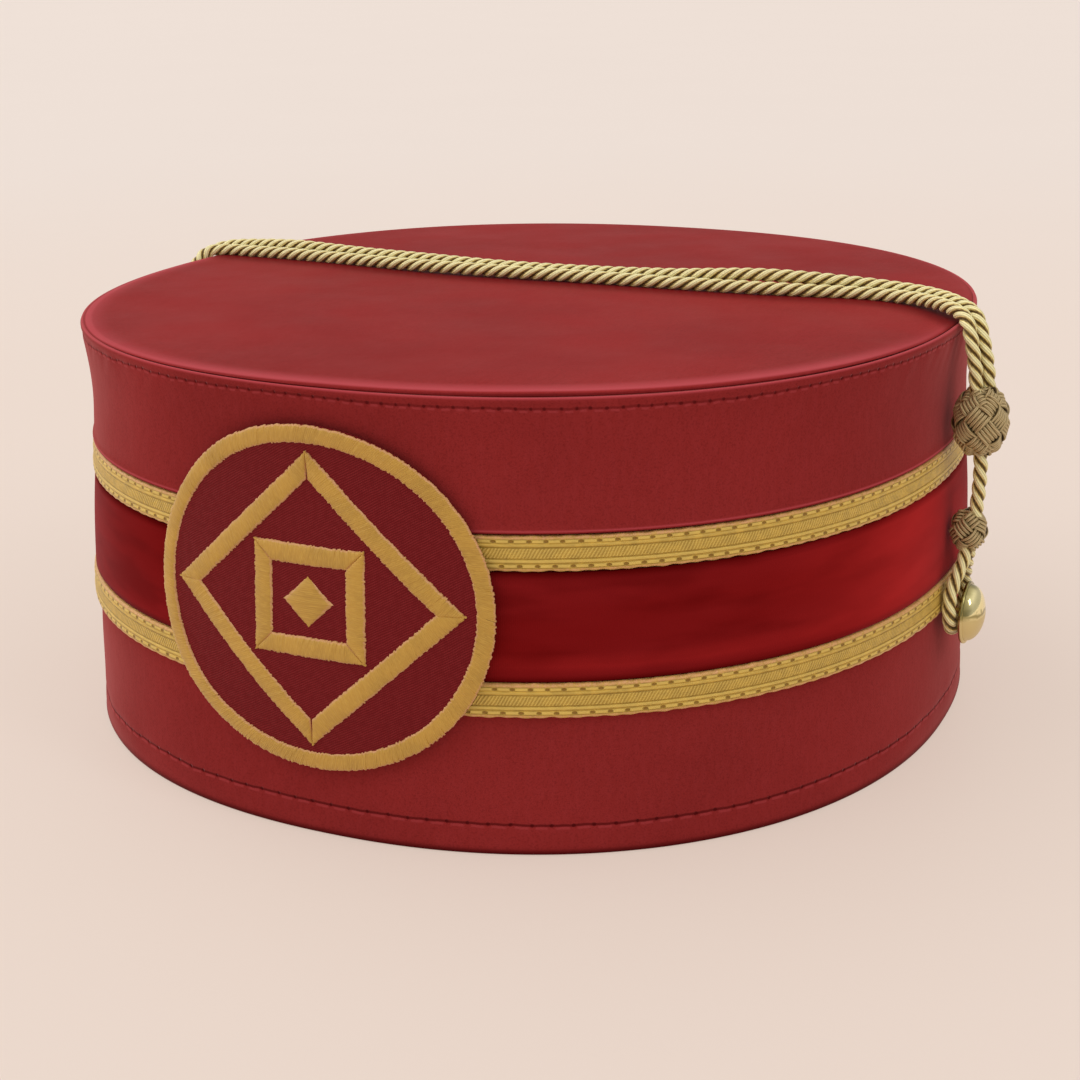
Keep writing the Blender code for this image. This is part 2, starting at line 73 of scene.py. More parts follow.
# the cap's own shape, as in the part's source
cap = {
    "halfWidth": 0.094,
    "halfLength": 0.098,
    "ovalPower": 2.16,
    "height": 0.085,
    "waist": 0.0039,
    "wall": 0.002,
}
wallSections = [  # share of the height, share of the waist's inset
    (0.000, 0.00), (0.050, 0.03), (0.120, 0.13), (0.235, 0.21), (0.390, 0.36), (0.560, 0.58),
    (0.730, 0.87), (0.825, 1.00), (0.895, 0.92), (0.955, 0.74), (1.000, 0.62),
]
layers = {
    "back": 0.0003,           # how far the back of a layer stands off the wall
    "panel": 0.0009,          # thickness
    "band": 0.0007,
    "lowerBraid": cap["height"] * 0.319,
    "upperBraid": cap["height"] * 0.635,
    "braidWidth": 0.0064,
    "badgeHeight": cap["height"] * 0.544,
    "sideLine": cap["halfLength"] * -0.031,
    "largeKnot": cap["height"] * 0.781,
    "smallKnot": cap["height"] * 0.513,
    "button": cap["height"] * 0.307,
    "buttonAhead": 0.0006,
}
# wall inset at each height, with the sections' corners smoothed away
smoothing = {"from": -0.02, "to": 0.105, "steps": 1000, "reach": 60, "spread": 0.0022}
fineHeights = np.linspace(smoothing["from"], smoothing["to"], smoothing["steps"] + 1)
sharpInsets = np.interp(fineHeights, [s * cap["height"] for s, _ in wallSections],
                        [i * cap["waist"] for _, i in wallSections])
fineStep = (smoothing["to"] - smoothing["from"]) / smoothing["steps"]
blur = np.exp(-0.5 * (np.arange(-smoothing["reach"], smoothing["reach"] + 1) * fineStep / smoothing["spread"]) ** 2)
fineInsets = np.convolve(np.pad(sharpInsets, smoothing["reach"], mode="edge"), blur / blur.sum(), mode="valid")


def wallInset(z):
    return np.interp(z, fineHeights, fineInsets)


def ovalPoint(angle, z, stand):
    # stand is how far off the wall's face
    offset = stand - wallInset(z)
    power = cap["ovalPower"]
    across = np.abs(np.cos(angle) / (cap["halfWidth"] + offset)) ** power
    along = np.abs(np.sin(angle) / (cap["halfLength"] + offset)) ** power
    radius = (across + along) ** (-1 / power)
    return np.stack([radius * np.cos(angle), radius * np.sin(angle), z + 0 * radius], axis=-1)


def lengthsAlong(points):
    return np.concatenate([[0], np.cumsum(np.linalg.norm(np.diff(points, axis=0), axis=1))])


tableAngles = np.linspace(-math.pi / 2, 1.5 * math.pi, 4001)
tableAlong = lengthsAlong(ovalPoint(tableAngles, 0 * tableAngles, 0))
girth = float(tableAlong[-1])


def onWall(along, z, stand):
    # along is measured round the hem from the middle of the front, towards +X
    return ovalPoint(np.interp(np.mod(along, girth), tableAlong, tableAngles), z, stand)


def sideFace(y, z, stand):
    # how far out in X the wall's face lies on the right
    offset = stand - wallInset(z)
    rest = 1 - abs(y / (cap["halfLength"] + offset)) ** cap["ovalPower"]
    return (cap["halfWidth"] + offset) * rest ** (1 / cap["ovalPower"])


badge = {
    "halfWidth": 0.0348,
    "halfHeight": 0.0323,
    "bar": 0.0038,
    "ringWidth": 0.0034,
    "slant": 0.42,        # how far a thread leans for its length
    "gap": 0.0009,
    "thickness": 0.0011,
    "offWall": 0.0019,
    "lean": 0.0012,       # how far its foot leans in to the wall
    "leanFrom": 0.0003,   # below the lower braid
    "stitch": 0.00036,    # from one thread to the next
    "stitchRise": 0.0006,
    "stitchFoot": 0.0001,  # how deep the stitches start in the twill
    "ragged": 0.00013,
    "reach": 1.2,         # radians to either side that the map of its face covers
    "steps": 480,
}
badgeAngles = -math.pi / 2 + np.linspace(-badge["reach"], badge["reach"], 2 * badge["steps"] + 1)
badgeAlong = lengthsAlong(ovalPoint(badgeAngles, 0 * badgeAngles + layers["badgeHeight"], badge["offWall"]))
badgeAlong -= badgeAlong[badge["steps"]]


def onBadge(across, up, stand):
    z = layers["badgeHeight"] + up
    free = layers["lowerBraid"] - badge["leanFrom"]
    lowest = layers["badgeHeight"] - badge["halfHeight"]
    back = badge["offWall"] - badge["lean"] * np.clip((free - z) / (free - lowest), 0, 1)
    return ovalPoint(np.interp(across, badgeAlong, badgeAngles), z, back + stand)


# small tools

def clearSelection():
    if bpy.context.object and bpy.context.object.mode != "OBJECT":
        bpy.ops.object.mode_set(mode="OBJECT")
    bpy.ops.object.select_all(action="DESELECT")


def pick(obj):
    clearSelection()
    obj.select_set(True)
    bpy.context.view_layer.objects.active = obj


def getPoints(obj):
    points = np.empty(len(obj.data.vertices) * 3)
    obj.data.vertices.foreach_get("co", points)
    return points.reshape(-1, 3)


def setPoints(obj, points):
    obj.data.vertices.foreach_set("co", np.ascontiguousarray(points, dtype=float).ravel())
    obj.data.update()


def setUv(obj, uv):
    # uv holds one pair for each vertex
    corners = np.empty(len(obj.data.loops), dtype=int)
    obj.data.loops.foreach_get("vertex_index", corners)
    obj.data.uv_layers.active.data.foreach_set("uv", np.ascontiguousarray(uv[corners], dtype=float).ravel())


def setShade(obj, shade):
    # a value for each vertex, which the materials read as "shade"
    layer = obj.data.attributes.new("shade", "FLOAT", "POINT")
    layer.data.foreach_set("value", np.ascontiguousarray(shade, dtype=float))


def addStrip(name, columns, rows):
    # a flat grid, and for each vertex its place along and across it, both from 0 to 1, and its row
    clearSelection()
    bpy.ops.mesh.primitive_grid_add(x_subdivisions=columns, y_subdivisions=rows, size=1)
    strip = bpy.context.object
    strip.name = name
    u, v = (getPoints(strip)[:, k] + 0.5 for k in (0, 1))
    return strip, u, v, np.rint(v * rows).astype(int)


def weld(obj, distance, capEnds=False):
    pick(obj)
    bpy.ops.object.mode_set(mode="EDIT")
    bpy.ops.mesh.select_all(action="SELECT")
    if distance:
        bpy.ops.mesh.remove_doubles(threshold=distance)
    if capEnds:
        bpy.ops.mesh.select_all(action="DESELECT")
        bpy.ops.mesh.select_non_manifold()
        bpy.ops.mesh.edge_face_add()
        bpy.ops.mesh.select_all(action="SELECT")
    bpy.ops.mesh.normals_make_consistent(inside=False)
    bpy.ops.object.mode_set(mode="OBJECT")


def shapeStrip(strip, points, mapPair, shade=None, distance=0.000002, capEnds=False):
    setPoints(strip, points)
    setUv(strip, np.stack(mapPair, axis=1))
    if shade is not None:
        setShade(strip, shade)
    weld(strip, distance, capEnds)


def joinAll(name, pieces):
    clearSelection()
    for piece in pieces:
        piece.select_set(True)
    bpy.context.view_layer.objects.active = pieces[0]
    bpy.ops.object.join()
    pieces[0].name = name
    return pieces[0]


def finishPiece(obj, material, nodes, angle=50):
    obj.data.materials.clear()
    obj.data.materials.append(material)
    pick(obj)
    bpy.ops.object.shade_smooth_by_angle(angle=math.radians(angle))
    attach(obj, "root")
    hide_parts(*nodes)
    return obj


def softNoise(along, z, seed, size):
    # a smooth unevenness from a few long waves that close round the cap
    draw = np.random.default_rng(seed)
    total = np.zeros_like(along)
    waves = 9
    for _ in range(waves):
        turns = max(1, round(girth / (size * draw.uniform(0.6, 2.2))))
        tilt = draw.uniform(-1, 1) / size
        phase = draw.uniform(0, 2 * math.pi)
        total += np.sin(2 * math.pi * (turns * along / girth + tilt * z) + phase)
    return total / waves


def bell(distance, spread):
    return np.exp(-(distance / spread) ** 2)


# the cords' measures and the way of the pair over the crown
rope = {
    "diameter": 0.003,
    "spacing": 0.0034,     # between the two cords of the pair
    "overall": 0.00292,    # across the plies
    "lay": 0.0087,         # how far a ply goes in one turn round the rope
    "plies": 3,
    "plyRadius": 0.00071,
    "step": 0.00036,
    "sides": 12,
    "hidden": 0.30,        # faces that look out less than this get the darkest painted shade
    "pathStep": 10,        # points of the line to one point of the path
}
# The pair's middle line from the right knot to the left: x and y as shares of the half width and
# half length, level (0 knot's top, 1 lip, then in diameters), bearing and steepness in degrees
pairRoute = [
    (1.0435, -0.0310, 0.000, 57.0, 0.0), (1.0405, -0.0336, 0.291, 57.2, 0.0),
    (1.0336, -0.0339, 0.578, 58.8, -0.1), (1.0239, -0.0279, 0.855, 61.6, -0.1),
    (1.0123, -0.0146, 1.236, 64.1, 0.5), (0.9940, 0.0060, 1.650, 65.6, 1.9), (0.9726, 0.0286, 1.797, 66.5, 3.9),
    (0.9515, 0.0516, 1.855, 67.8, 6.2), (0.9263, 0.0778, 1.869, 70.4, 8.8), (0.8959, 0.1064, 1.836, 73.8, 11.1),
    (0.8536, 0.1371, 1.790, 77.0, 13.7), (0.7840, 0.1614, 1.762, 82.4, 18.4),
    (0.6992, 0.1640, 1.822, 89.6, 26.8), (0.5949, 0.1450, 1.959, 93.8, 40.0),
    (0.4682, 0.1307, 1.999, 91.9, 42.4), (0.2770, 0.1229, 1.825, 89.9, 19.1),
    (0.0644, 0.1144, 1.769, 90.0, 8.3), (-0.1482, 0.1091, 1.770, 90.0, 7.1),
    (-0.3607, 0.1198, 1.780, 87.9, 15.2), (-0.5194, 0.1351, 1.772, 87.0, 16.9),
    (-0.6757, 0.1505, 1.807, 88.5, 23.4), (-0.7498, 0.1577, 1.812, 90.4, 25.8),
    (-0.8132, 0.1642, 1.755, 92.3, 23.3), (-0.8660, 0.1700, 1.675, 95.1, 19.4),
    (-0.9083, 0.1738, 1.615, 99.1, 15.1), (-0.9454, 0.1736, 1.560, 104.0, 9.1),
    (-0.9765, 0.1660, 1.440, 108.8, 1.8), (-1.0010, 0.1515, 1.230, 113.6, -6.9),
    (-1.0136, 0.1330, 0.932, 117.5, -14.6), (-1.0199, 0.1114, 0.761, 120.5, -19.9),
    (-1.0244, 0.0881, 0.603, 123.1, -23.0), (-1.0290, 0.0633, 0.461, 125.6, -24.0),
    (-1.0340, 0.0381, 0.324, 128.5, -22.9), (-1.0389, 0.0151, 0.191, 131.4, -20.6),
    (-1.0435, -0.0060, 0.050, 134.0, -18.0),
]


# materials

def give(socket, value):
    # another node's output is linked, a number or a colour is set
    if isinstance(value, bpy.types.NodeSocket):
        socket.id_data.links.new(value, socket)
    else:
        socket.default_value = (*value, 1) if isinstance(value, tuple) else value


def addNode(tree, kind, values, **settings):
    node = tree.nodes.new("ShaderNode" + kind)
    for name, setting in settings.items():
        setattr(node, name, setting)
    for label, value in values.items():
        give(node.inputs[label], value)
    return node


def calc(operation, *values):
    tree = next(value.id_data for value in values if isinstance(value, bpy.types.NodeSocket))
    return addNode(tree, "Math", dict(enumerate(values)), operation=operation).outputs[0]


def chain(operation, first, *others):
    for value in others:
        first = calc(operation, first, value)
    return first


times, plus, minus = (partial(chain, operation) for operation in ("MULTIPLY", "ADD", "SUBTRACT"))
addTimes = partial(calc, "MULTIPLY_ADD")   # the third added to the first by the second
absolute = partial(calc, "ABSOLUTE")


def blend(first, second, *shares):
    # the second colour over the first one, by the product of the shares
    share = times(*shares)
    return addNode(share.id_data, "Mix", {0: share, 6: first, 7: second}, data_type="RGBA").outputs[2]


def noise(vector, scale, detail=2.0, roughness=0.5):
    values = {"Vector": vector, "Scale": scale, "Detail": detail, "Roughness": roughness}
    return addNode(vector.id_data, "TexNoise", values).outputs["Fac"]


def ramp(value, low, high, toLow=0.0, toHigh=1.0):
    values = {"Value": value, "From Min": low, "From Max": high, "To Min": toLow, "To Max": toHigh}
    return addNode(value.id_data, "MapRange", values, interpolation_type="SMOOTHSTEP").outputs["Result"]


def splitVector(vector):
    return addNode(vector.id_data, "SeparateXYZ", {0: vector}).outputs


def stretched(vector, *scales):
    parts = [times(part, scale) for part, scale in zip(splitVector(vector), scales)]
    return addNode(vector.id_data, "CombineXYZ", dict(enumerate(parts))).outputs[0]


def fromNearest(value, pitch):
    # how far a value is from the nearest whole number of pitches
    turns = calc("DIVIDE", value, pitch)
    return times(absolute(minus(turns, calc("ROUND", turns))), pitch)


def stripe(value, middle, half, soft):
    # 1 within half of the middle, and 0 beyond half and soft
    return ramp(absolute(minus(value, middle)), half, half + soft, 1.0, 0.0)


def hypotenuse(first, second):
    return calc("SQRT", plus(times(first, first), times(second, second)))


def newGroup(name, inputs, outputs):
    # an input's default is a number, a colour or, for a vector, None
    kinds = {float: "Float", tuple: "Color", type(None): "Vector"}
    group = bpy.data.node_groups.new(name, "ShaderNodeTree")
    for label, value in inputs.items():
        kind = "NodeSocket" + kinds[type(value)]
        socket = group.interface.new_socket(label, in_out="INPUT", socket_type=kind)
        if value is not None:
            give(socket, value)
    for label, kind in outputs.items():
        group.interface.new_socket(label, in_out="OUTPUT", socket_type="NodeSocket" + kind)
    return group, group.nodes.new("NodeGroupInput").outputs, group.nodes.new("NodeGroupOutput").inputs


def makeStitchGroup():
    # needle holes in a drawn-in line, and the cloth raised just under it, on a map in metres
    group, given, result = newGroup(
        "stitchRow", {"Vector": None, "Row Height": 0.0, "Pitch": 0.003, "Hole": 0.00035, "Wander": 0.0004},
        {"Hole": "Float", "Groove": "Float", "Thread": "Float"})
    along, height = splitVector(given["Vector"])[:2]
    hole = given["Hole"]
    uneven = []
    for scale, place in ((28.0, 0.3), (330.0, 7.1), (330.0, 13.7)):
        spot = addNode(group, "CombineXYZ", {0: times(along, scale), 1: place, 2: given["Row Height"]})
        uneven.append(times(minus(noise(spot.outputs[0], 1.0, 1.0), 0.5), given["Wander"]))
    above = minus(height, given["Row Height"], times(uneven[0], 2.2), times(uneven[1], 0.9))
    away = fromNearest(addTimes(uneven[2], 1.8, along), given["Pitch"])
    under = absolute(addTimes(hole, 1.35, above))
    give(result["Hole"], ramp(calc("DIVIDE", hypotenuse(away, above), hole), 0.45, 1.25, 1.0, 0.0))
    give(result["Groove"], ramp(calc("DIVIDE", absolute(above), hole), 0.25, 1.0, 1.0, 0.0))
    give(result["Thread"], times(ramp(calc("DIVIDE", under, hole), 0.3, 1.0, 1.0, 0.0),
                                 ramp(calc("DIVIDE", away, hole), 1.2, 2.4)))
    return group


def makeLineGroup():
    # parallel lines over a surface, by their number to the metre along and across
    group, given, result = newGroup(
        "threadLines", {"Vector": None, "Per Metre Along": 2000.0, "Per Metre Across": 0.0, "Wander": 0.15},
        {"Height": "Float"})
    along, across = splitVector(given["Vector"])[:2]
    turns = plus(times(along, given["Per Metre Along"]), times(across, given["Per Metre Across"]),
                 times(noise(given["Vector"], 260.0, 1.0), given["Wander"]))
    give(result["Height"], addTimes(calc("SINE", times(turns, 2 * math.pi)), 0.5, 0.5))
    return group


def makeWeaveGroup():
    # a plain weave, over one and under one
    group, given, result = newGroup("plainWeave", {"Vector": None, "Threads Per Metre": 3000.0},
                                    {"Height": "Float"})
    waves = [calc("SINE", times(part, given["Threads Per Metre"], math.pi))
             for part in splitVector(given["Vector"])[:2]]
    fine = addTimes(times(*waves), 0.35, 0.5)
    give(result["Height"], plus(times(fine, 0.8), times(noise(given["Vector"], 5200.0, 1.0), 0.2)))
    return group


def makeMottleGroup():
    # how cloth is a little darker and lighter from place to place
    group, given, result = newGroup(
        "clothMottle", {"Vector": None, "Size": 40.0, "Colour": (0.5, 0.5, 0.5), "Strength": 0.15},
        {"Colour": "Color"})
    mask = ramp(noise(given["Vector"], given["Size"], 3.0), 0.3, 0.7)
    bright = minus(addTimes(mask, given["Strength"], 1.0), times(given["Strength"], 0.5))
    scaled = addNode(group, "VectorMath", {0: given["Colour"], "Scale": bright}, operation="SCALE")
    give(result["Colour"], scaled.outputs[0])
    return group


lineGroup = makeLineGroup()
weaveGroup = makeWeaveGroup()
mottleGroup = makeMottleGroup()
stitchGroup = makeStitchGroup()


def useGroup(group, values):
    node = values["Vector"].id_data.nodes.new("ShaderNodeGroup")
    node.node_tree = group
    for label, value in values.items():
        give(node.inputs[label], value)
    return node.outputs


def mottled(tree, colour, scale, strength):
    return useGroup(mottleGroup, {"Vector": objectNode(tree), "Size": scale, "Colour": colour,
                                  "Strength": strength})["Colour"]


def lines(vector, along, across, wander):
    return useGroup(lineGroup, {"Vector": vector, "Per Metre Along": along, "Per Metre Across": across,
                                "Wander": wander})["Height"]


def newMaterial(name, settings):
    material = bpy.data.materials.new(name)
    material.use_nodes = True
    shader = material.node_tree.nodes["Principled BSDF"].inputs
    for label, value in settings.items():
        give(shader[label], value)
    return material, material.node_tree, shader


def dress(shader, base, *bumps):
    # its colour, and bumps of (height, depth, strength), each over the one before
    give(shader["Base Color"], base)
    before = {}
    for height, depth, strength in bumps:
        values = {"Height": height, "Distance": depth, "Strength": strength, **before}
        before = {"Normal": addNode(base.id_data, "Bump", values).outputs["Normal"]}
    give(shader["Normal"], before["Normal"])


def readShade(tree):
    return addNode(tree, "Attribute", {}, attribute_name="shade").outputs["Fac"]


def uvNode(tree):
    return addNode(tree, "UVMap", {}).outputs["UV"]


def objectNode(tree):
    return addNode(tree, "TexCoord", {}).outputs["Object"]


redCloth = {
    "edge": (0.47, 0.064, 0.078),   # paler slubs, and the painted highlight along folds, the lip and the top's shoulder
    # hole: needle holes and fine dark specks, and the painted shade in grooves, along the bottom edge and under
    # folds
    "hole": (0.070, 0.0035, 0.0040),
    # thread: painted highlight on the cloth raised just under a row of stitches
    "thread": (0.36, 0.045, 0.050),
    # the colour of the cords' painted shadow on the top
    "cordShadow": (0.118, 0.0045, 0.0055),
    "glossTint": (1.0, 0.22, 0.22),
    "threadsPerMetre": 3600.0,
    "nearCords": 0.93,      # share of the half width that the cords' painted shadow reaches
}
cloths = {
    "wallCloth": {"colour": (0.252, 0.0225, 0.0220), "roughness": 0.48, "gloss": 0.0, "sheen": 0.42,
                  "sheenTint": (1.0, 0.43, 0.43), "rows": ["lip", "hem"]},
    "topCloth": {"colour": (0.268, 0.0195, 0.0195), "roughness": 0.5, "gloss": 0.02, "sheen": 0.04,
                 "sheenTint": (1.0, 0.22, 0.22), "rows": []},
}
stitchRows = {  # height on the wall, pitch, size of the holes, how uneven, how dark the painted shade in the line between them is
    "lip": (0.0832, 0.00265, 0.00034, 0.00065, 0.42),
    "hem": (0.0061, 0.00385, 0.00038, 0.00050, 0.72),
}


def cordShadow(place):
    # painted shadow of the pair of cords on the top: how dark the top is beside them, from a curve through the
    # front cord's line
    near = [row for row in pairRoute if abs(row[0]) < redCloth["nearCords"]]
    along = [cap["halfLength"] * row[1] - rope["spacing"] / 2 * math.cos(math.radians(row[4])) for row in near]
    curve = np.polyfit([row[0] for row in near], along, 8)
    x, y = splitVector(place)[:2]
    share = calc("DIVIDE", x, cap["halfWidth"])
    line = float(curve[0])
    for factor in curve[1:]:
        line = addTimes(share, line, float(factor))
    ahead = minus(line, y)
    return times(ramp(ahead, 0.0030, 0.0100, 1.0, 0.0), ramp(ahead, -0.0062, -0.0046))


def makeClothMaterial(name, cords=False):
    cloth = cloths[name]
    material, tree, shader = newMaterial(name, {
        "Specular IOR Level": cloth["gloss"], "Specular Tint": redCloth["glossTint"],
        "Sheen Weight": cloth["sheen"], "Sheen Roughness": 0.35, "Sheen Tint": cloth["sheenTint"]})
    uv, place, shade = uvNode(tree), objectNode(tree), readShade(tree)
    base = mottled(tree, cloth["colour"], 28.0, 0.16)
    slubs = noise(stretched(uv, 900.0, 260.0), 1.0, 3.0, 0.6)
    base = blend(base, redCloth["edge"], ramp(slubs, 0.35, 0.75, 0.0, 0.07))
    base = blend(base, redCloth["hole"], ramp(noise(place, 2600.0, 1.0), 0.55, 0.25, 0.0, 0.22))
    height = useGroup(weaveGroup, {"Vector": uv, "Threads Per Metre": redCloth["threadsPerMetre"]})["Height"]
    for row in cloth["rows"]:
        rowHeight, pitch, hole, wander, dark = stitchRows[row]
        sewn = useGroup(stitchGroup, {"Vector": uv, "Row Height": rowHeight, "Pitch": pitch, "Hole": hole,
                                      "Wander": wander})
        # painted shade in the needle holes and the groove between them, and a painted highlight on the cloth raised
        # under the row
        base = blend(base, redCloth["hole"], sewn["Groove"], dark)
        base = blend(base, redCloth["thread"], sewn["Thread"], 0.55)
        base = blend(base, redCloth["hole"], sewn["Hole"], 0.45 + 0.55 * dark)
        height = minus(height, addTimes(sewn["Hole"], 6.0, times(sewn["Groove"], 3.0)))
        height = addTimes(sewn["Thread"], 2.0, height)
    # painted highlight where shade is above 0, painted shade where it is below
    base = blend(base, redCloth["edge"], ramp(shade, 0.0, 1.0))
    base = blend(base, redCloth["hole"], ramp(shade, 0.0, -1.0))
    # the painted shadow of the pair of cords, on the top only
    if cords:
        base = blend(base, redCloth["cordShadow"], cordShadow(place), 0.7)
    dress(shader, base, (height, 0.00003, 0.6), (noise(place, 95.0, 4.0, 0.6), 0.0005, 0.3))
    rough = cloth["roughness"]
    give(shader["Roughness"], ramp(noise(place, 60.0), 0.2, 0.8, rough - 0.06, rough + 0.06))
    return material


ribbon = {
    "colour": (0.182, 0.0054, 0.0058),
    "bright": (0.228, 0.0105, 0.0120),
    # darker patches at random, and the painted shade beside the lace
    "shaded": (0.07, 0.0006, 0.0006),
    "paintedLight": (0.44, 0.020, 0.020),   # the painted highlight where the ribbon catches the light on the right
    "roughness": 0.38,
    "sheen": 0.30,
    "sheenTint": (1.0, 0.42, 0.45),
    "ribsPerMetre": 2600.0,
    "streaks": (14.0, 14.0, 60.0),     # how many to the metre in x, y and z
}


def makeRibbonMaterial():
    material, tree, shader = newMaterial("ribbonSatin", {
        "Roughness": ribbon["roughness"], "Specular IOR Level": 0.0, "Sheen Weight": ribbon["sheen"],
        "Sheen Roughness": 0.3, "Sheen Tint": ribbon["sheenTint"]})
    place, shade = stretched(objectNode(tree), *ribbon["streaks"]), readShade(tree)
    # brighter streaks at random, a painted sheen of the satin
    streaks = ramp(noise(place, 1.0, 3.0), 0.35, 0.75)
    base = blend(ribbon["colour"], ribbon["bright"], streaks)
    base = blend(base, ribbon["shaded"], ramp(noise(place, 3.1), 0.45, 0.7, 0.0, 0.35))
    patchy = ramp(noise(place, 2.3, 3.0), 0.3, 0.7, 0.55, 1.0)
    # painted highlight and painted shade, from the shade attribute
    base = blend(base, ribbon["paintedLight"], calc("MAXIMUM", shade, 0.0), patchy)
    base = blend(base, ribbon["shaded"], ramp(shade, 0.0, -1.0))
    ribs = lines(uvNode(tree), ribbon["ribsPerMetre"], 0.0, 0.3)
    dress(shader, base, (ribs, 0.00003, 0.4), (streaks, 0.0004, 0.35))
    return material


gold = {
    "lace": (0.59, 0.370, 0.056),
    "laceLight": (0.80, 0.575, 0.145),
    "laceDark": (0.25, 0.12, 0.010),
    "selvedge": (0.70, 0.37, 0.155),
    "thread": (0.50, 0.272, 0.036),
    "threadLight": (0.64, 0.385, 0.064),
    "threadDark": (0.22, 0.105, 0.014),
    "threadEnd": (0.66, 0.34, 0.155),
    "brass": (0.94, 0.84, 0.45),
    "brassDarkReflection": (0.20, 0.16, 0.035),
    "brassFloorReflection": (0.70, 0.57, 0.27),
}
lace = {   # places across it are shares of its width, from the lower edge
    "columns": 1140,
    "thickness": 0.0010,
    "pitch": 0.00317,                 # between the holes along each edge
    "holeRows": ((0.160, 0.0), (0.850, 0.5)),   # place, and shift along in pitches
    "wobble": 0.0011,
    "scallop": 0.00007,
    "cords": (0.295, 0.735),          # raised lengthwise cords
    "ribs": (1560.0, -900.0, 1.0),    # to the metre along and across, and how much they wander
    "threads": (420.0, 5200.0),
    "middle": 0.52,
}


def makeLaceMaterial():
    # the map's u runs along the lace and v across it from its lower edge, both in metres
    material, tree, shader = newMaterial("goldLace", {"Roughness": 0.42, "Metallic": 0.08,
                                                      "Specular IOR Level": 0.35})
    uv = uvNode(tree)
    along, across = splitVector(uv)[:2]
    share = calc("DIVIDE", across, layers["braidWidth"])
    holes = dashes = 0.0
    for middle, shift in lace["holeRows"]:
        off = times(minus(share, middle), layers["braidWidth"])
        moved = plus(along, times(noise(uv, 90.0, 1.0), lace["wobble"]), shift * lace["pitch"])
        away = fromNearest(moved, lace["pitch"])
        holes = plus(ramp(hypotenuse(times(away, 0.60), off), 0.00014, 0.00036, 1.0, 0.0), holes)
        row = ramp(absolute(off), 0.00020, 0.00040, 1.0, 0.0)
        dashes = plus(times(row, ramp(away, 0.0003, 0.0006)), dashes)
    lower, upper = lace["cords"]
    cord = plus(stripe(share, lower, 0.030, 0.025), times(stripe(share, upper, 0.018, 0.03), 0.6))
    dark = plus(stripe(share, 0.362, 0.006, 0.016), stripe(share, 0.672, 0.006, 0.016))
    for middle in (0.098, 0.905, 0.232):
        dark = plus(dark, times(stripe(share, middle, 0.004, 0.02), 0.5))
    zone = stripe(share, lace["middle"], 0.135, 0.02)
    ribs = lines(uv, *lace["ribs"])
    ribbed = times(ribs, zone)
    threads = noise(stretched(uv, *lace["threads"]), 1.0)
    base = blend(mottled(tree, gold["lace"], 520.0, 0.35), gold["laceDark"], ramp(threads, 0.40, 0.75, 0.0, 0.5))
    # darker between the ribs, in the grooves and in the holes, lighter on the raised ribs, cords and dashes:
    # painted shade and painted highlight that follow the relief
    base = blend(base, gold["laceDark"], zone, minus(1.0, ribs), 0.30)
    base = blend(base, gold["laceLight"], ribbed, 0.55)
    base = blend(base, gold["laceLight"], calc("MAXIMUM", cord, dashes), 0.60)
    selvedge = ramp(calc("MINIMUM", share, minus(1.0, share)), 0.075, 0.105, 1.0, 0.0)
    base = blend(base, gold["selvedge"], selvedge, ramp(noise(uv, 1900.0), 0.35, 0.65, 0.35, 1.0))
    base = blend(base, gold["laceDark"], dark, 0.45)
    base = blend(base, gold["laceDark"], holes, 0.9)
    height = times(threads, 0.5)
    for part, amount in ((ribbed, 0.8), (cord, 0.7), (dashes, 1.0), (holes, -1.6), (dark, -0.7)):
        height = addTimes(part, amount, height)
    dress(shader, base, (height, 0.00014, 0.9))
    return material


def makeStitchMaterial():
    # satin stitch: shade is 1 on the crown of a thread and 0 between two, painted as a highlight on the crowns and
    # as shade between threads; v goes from 0 to 1 across the line
    material, tree, shader = newMaterial("satinStitch", {"Roughness": 0.42, "Metallic": 0.08,
                                                         "Sheen Weight": 0.08})
    shade, uv = readShade(tree), uvNode(tree)
    base = blend(gold["threadDark"], mottled(tree, gold["thread"], 160.0, 0.16), ramp(shade, -0.2, 0.5))
    base = blend(base, gold["threadLight"], ramp(shade, 0.7, 1.3, 0.0, 0.6))
    fibre = noise(stretched(uv, 5200.0, 2.6), 1.0)
    base = blend(base, gold["threadLight"], ramp(fibre, 0.42, 0.7, 0.0, 0.45))
    toEnd = absolute(minus(splitVector(uv)[1], 0.5))
    frayed = ramp(noise(objectNode(tree), 2600.0), 0.3, 0.6, 0.35, 1.0)
    base = blend(base, gold["threadEnd"], ramp(toEnd, 0.38, 0.47), frayed)
    dress(shader, base, (fibre, 0.00006, 0.6))
    return material


twill = {
    "colours": ((0.142, 0.0066, 0.0085), (0.220, 0.0160, 0.0190)),   # painted shade between the ribs, painted highlight on them
    "ribs": (-1150.0, 2100.0, 0.9),
    "threads": (2400.0, 300.0, 0.9),
}


def makeTwillMaterial():
    material, tree, shader = newMaterial("badgeTwill", {"Roughness": 0.62, "Specular IOR Level": 0.08})
    uv = uvNode(tree)
    both = addTimes(lines(uv, *twill["threads"]), 0.35, lines(uv, *twill["ribs"]))
    both = times(both, ramp(noise(uv, 900.0), 0.3, 0.7, 0.5, 1.0))
    dress(shader, blend(*twill["colours"], ramp(both, 0.1, 1.1)), (both, 0.00012, 0.8))
    return material


yarns = {
    "goldRope": {"light": (1.0, 0.76, 0.24), "dark": (0.12, 0.060, 0.006), "pale": (1.0, 0.93, 0.50),
                 "round": 9.0, "roughness": 0.32, "metallic": 0.04, "sheen": 0.45},
    "knotYarn": {"light": (0.30, 0.215, 0.072), "dark": (0.045, 0.023, 0.005), "pale": (0.57, 0.435, 0.215),
                 "round": 5.0, "roughness": 0.42, "metallic": 0.15, "sheen": 0.0},
}


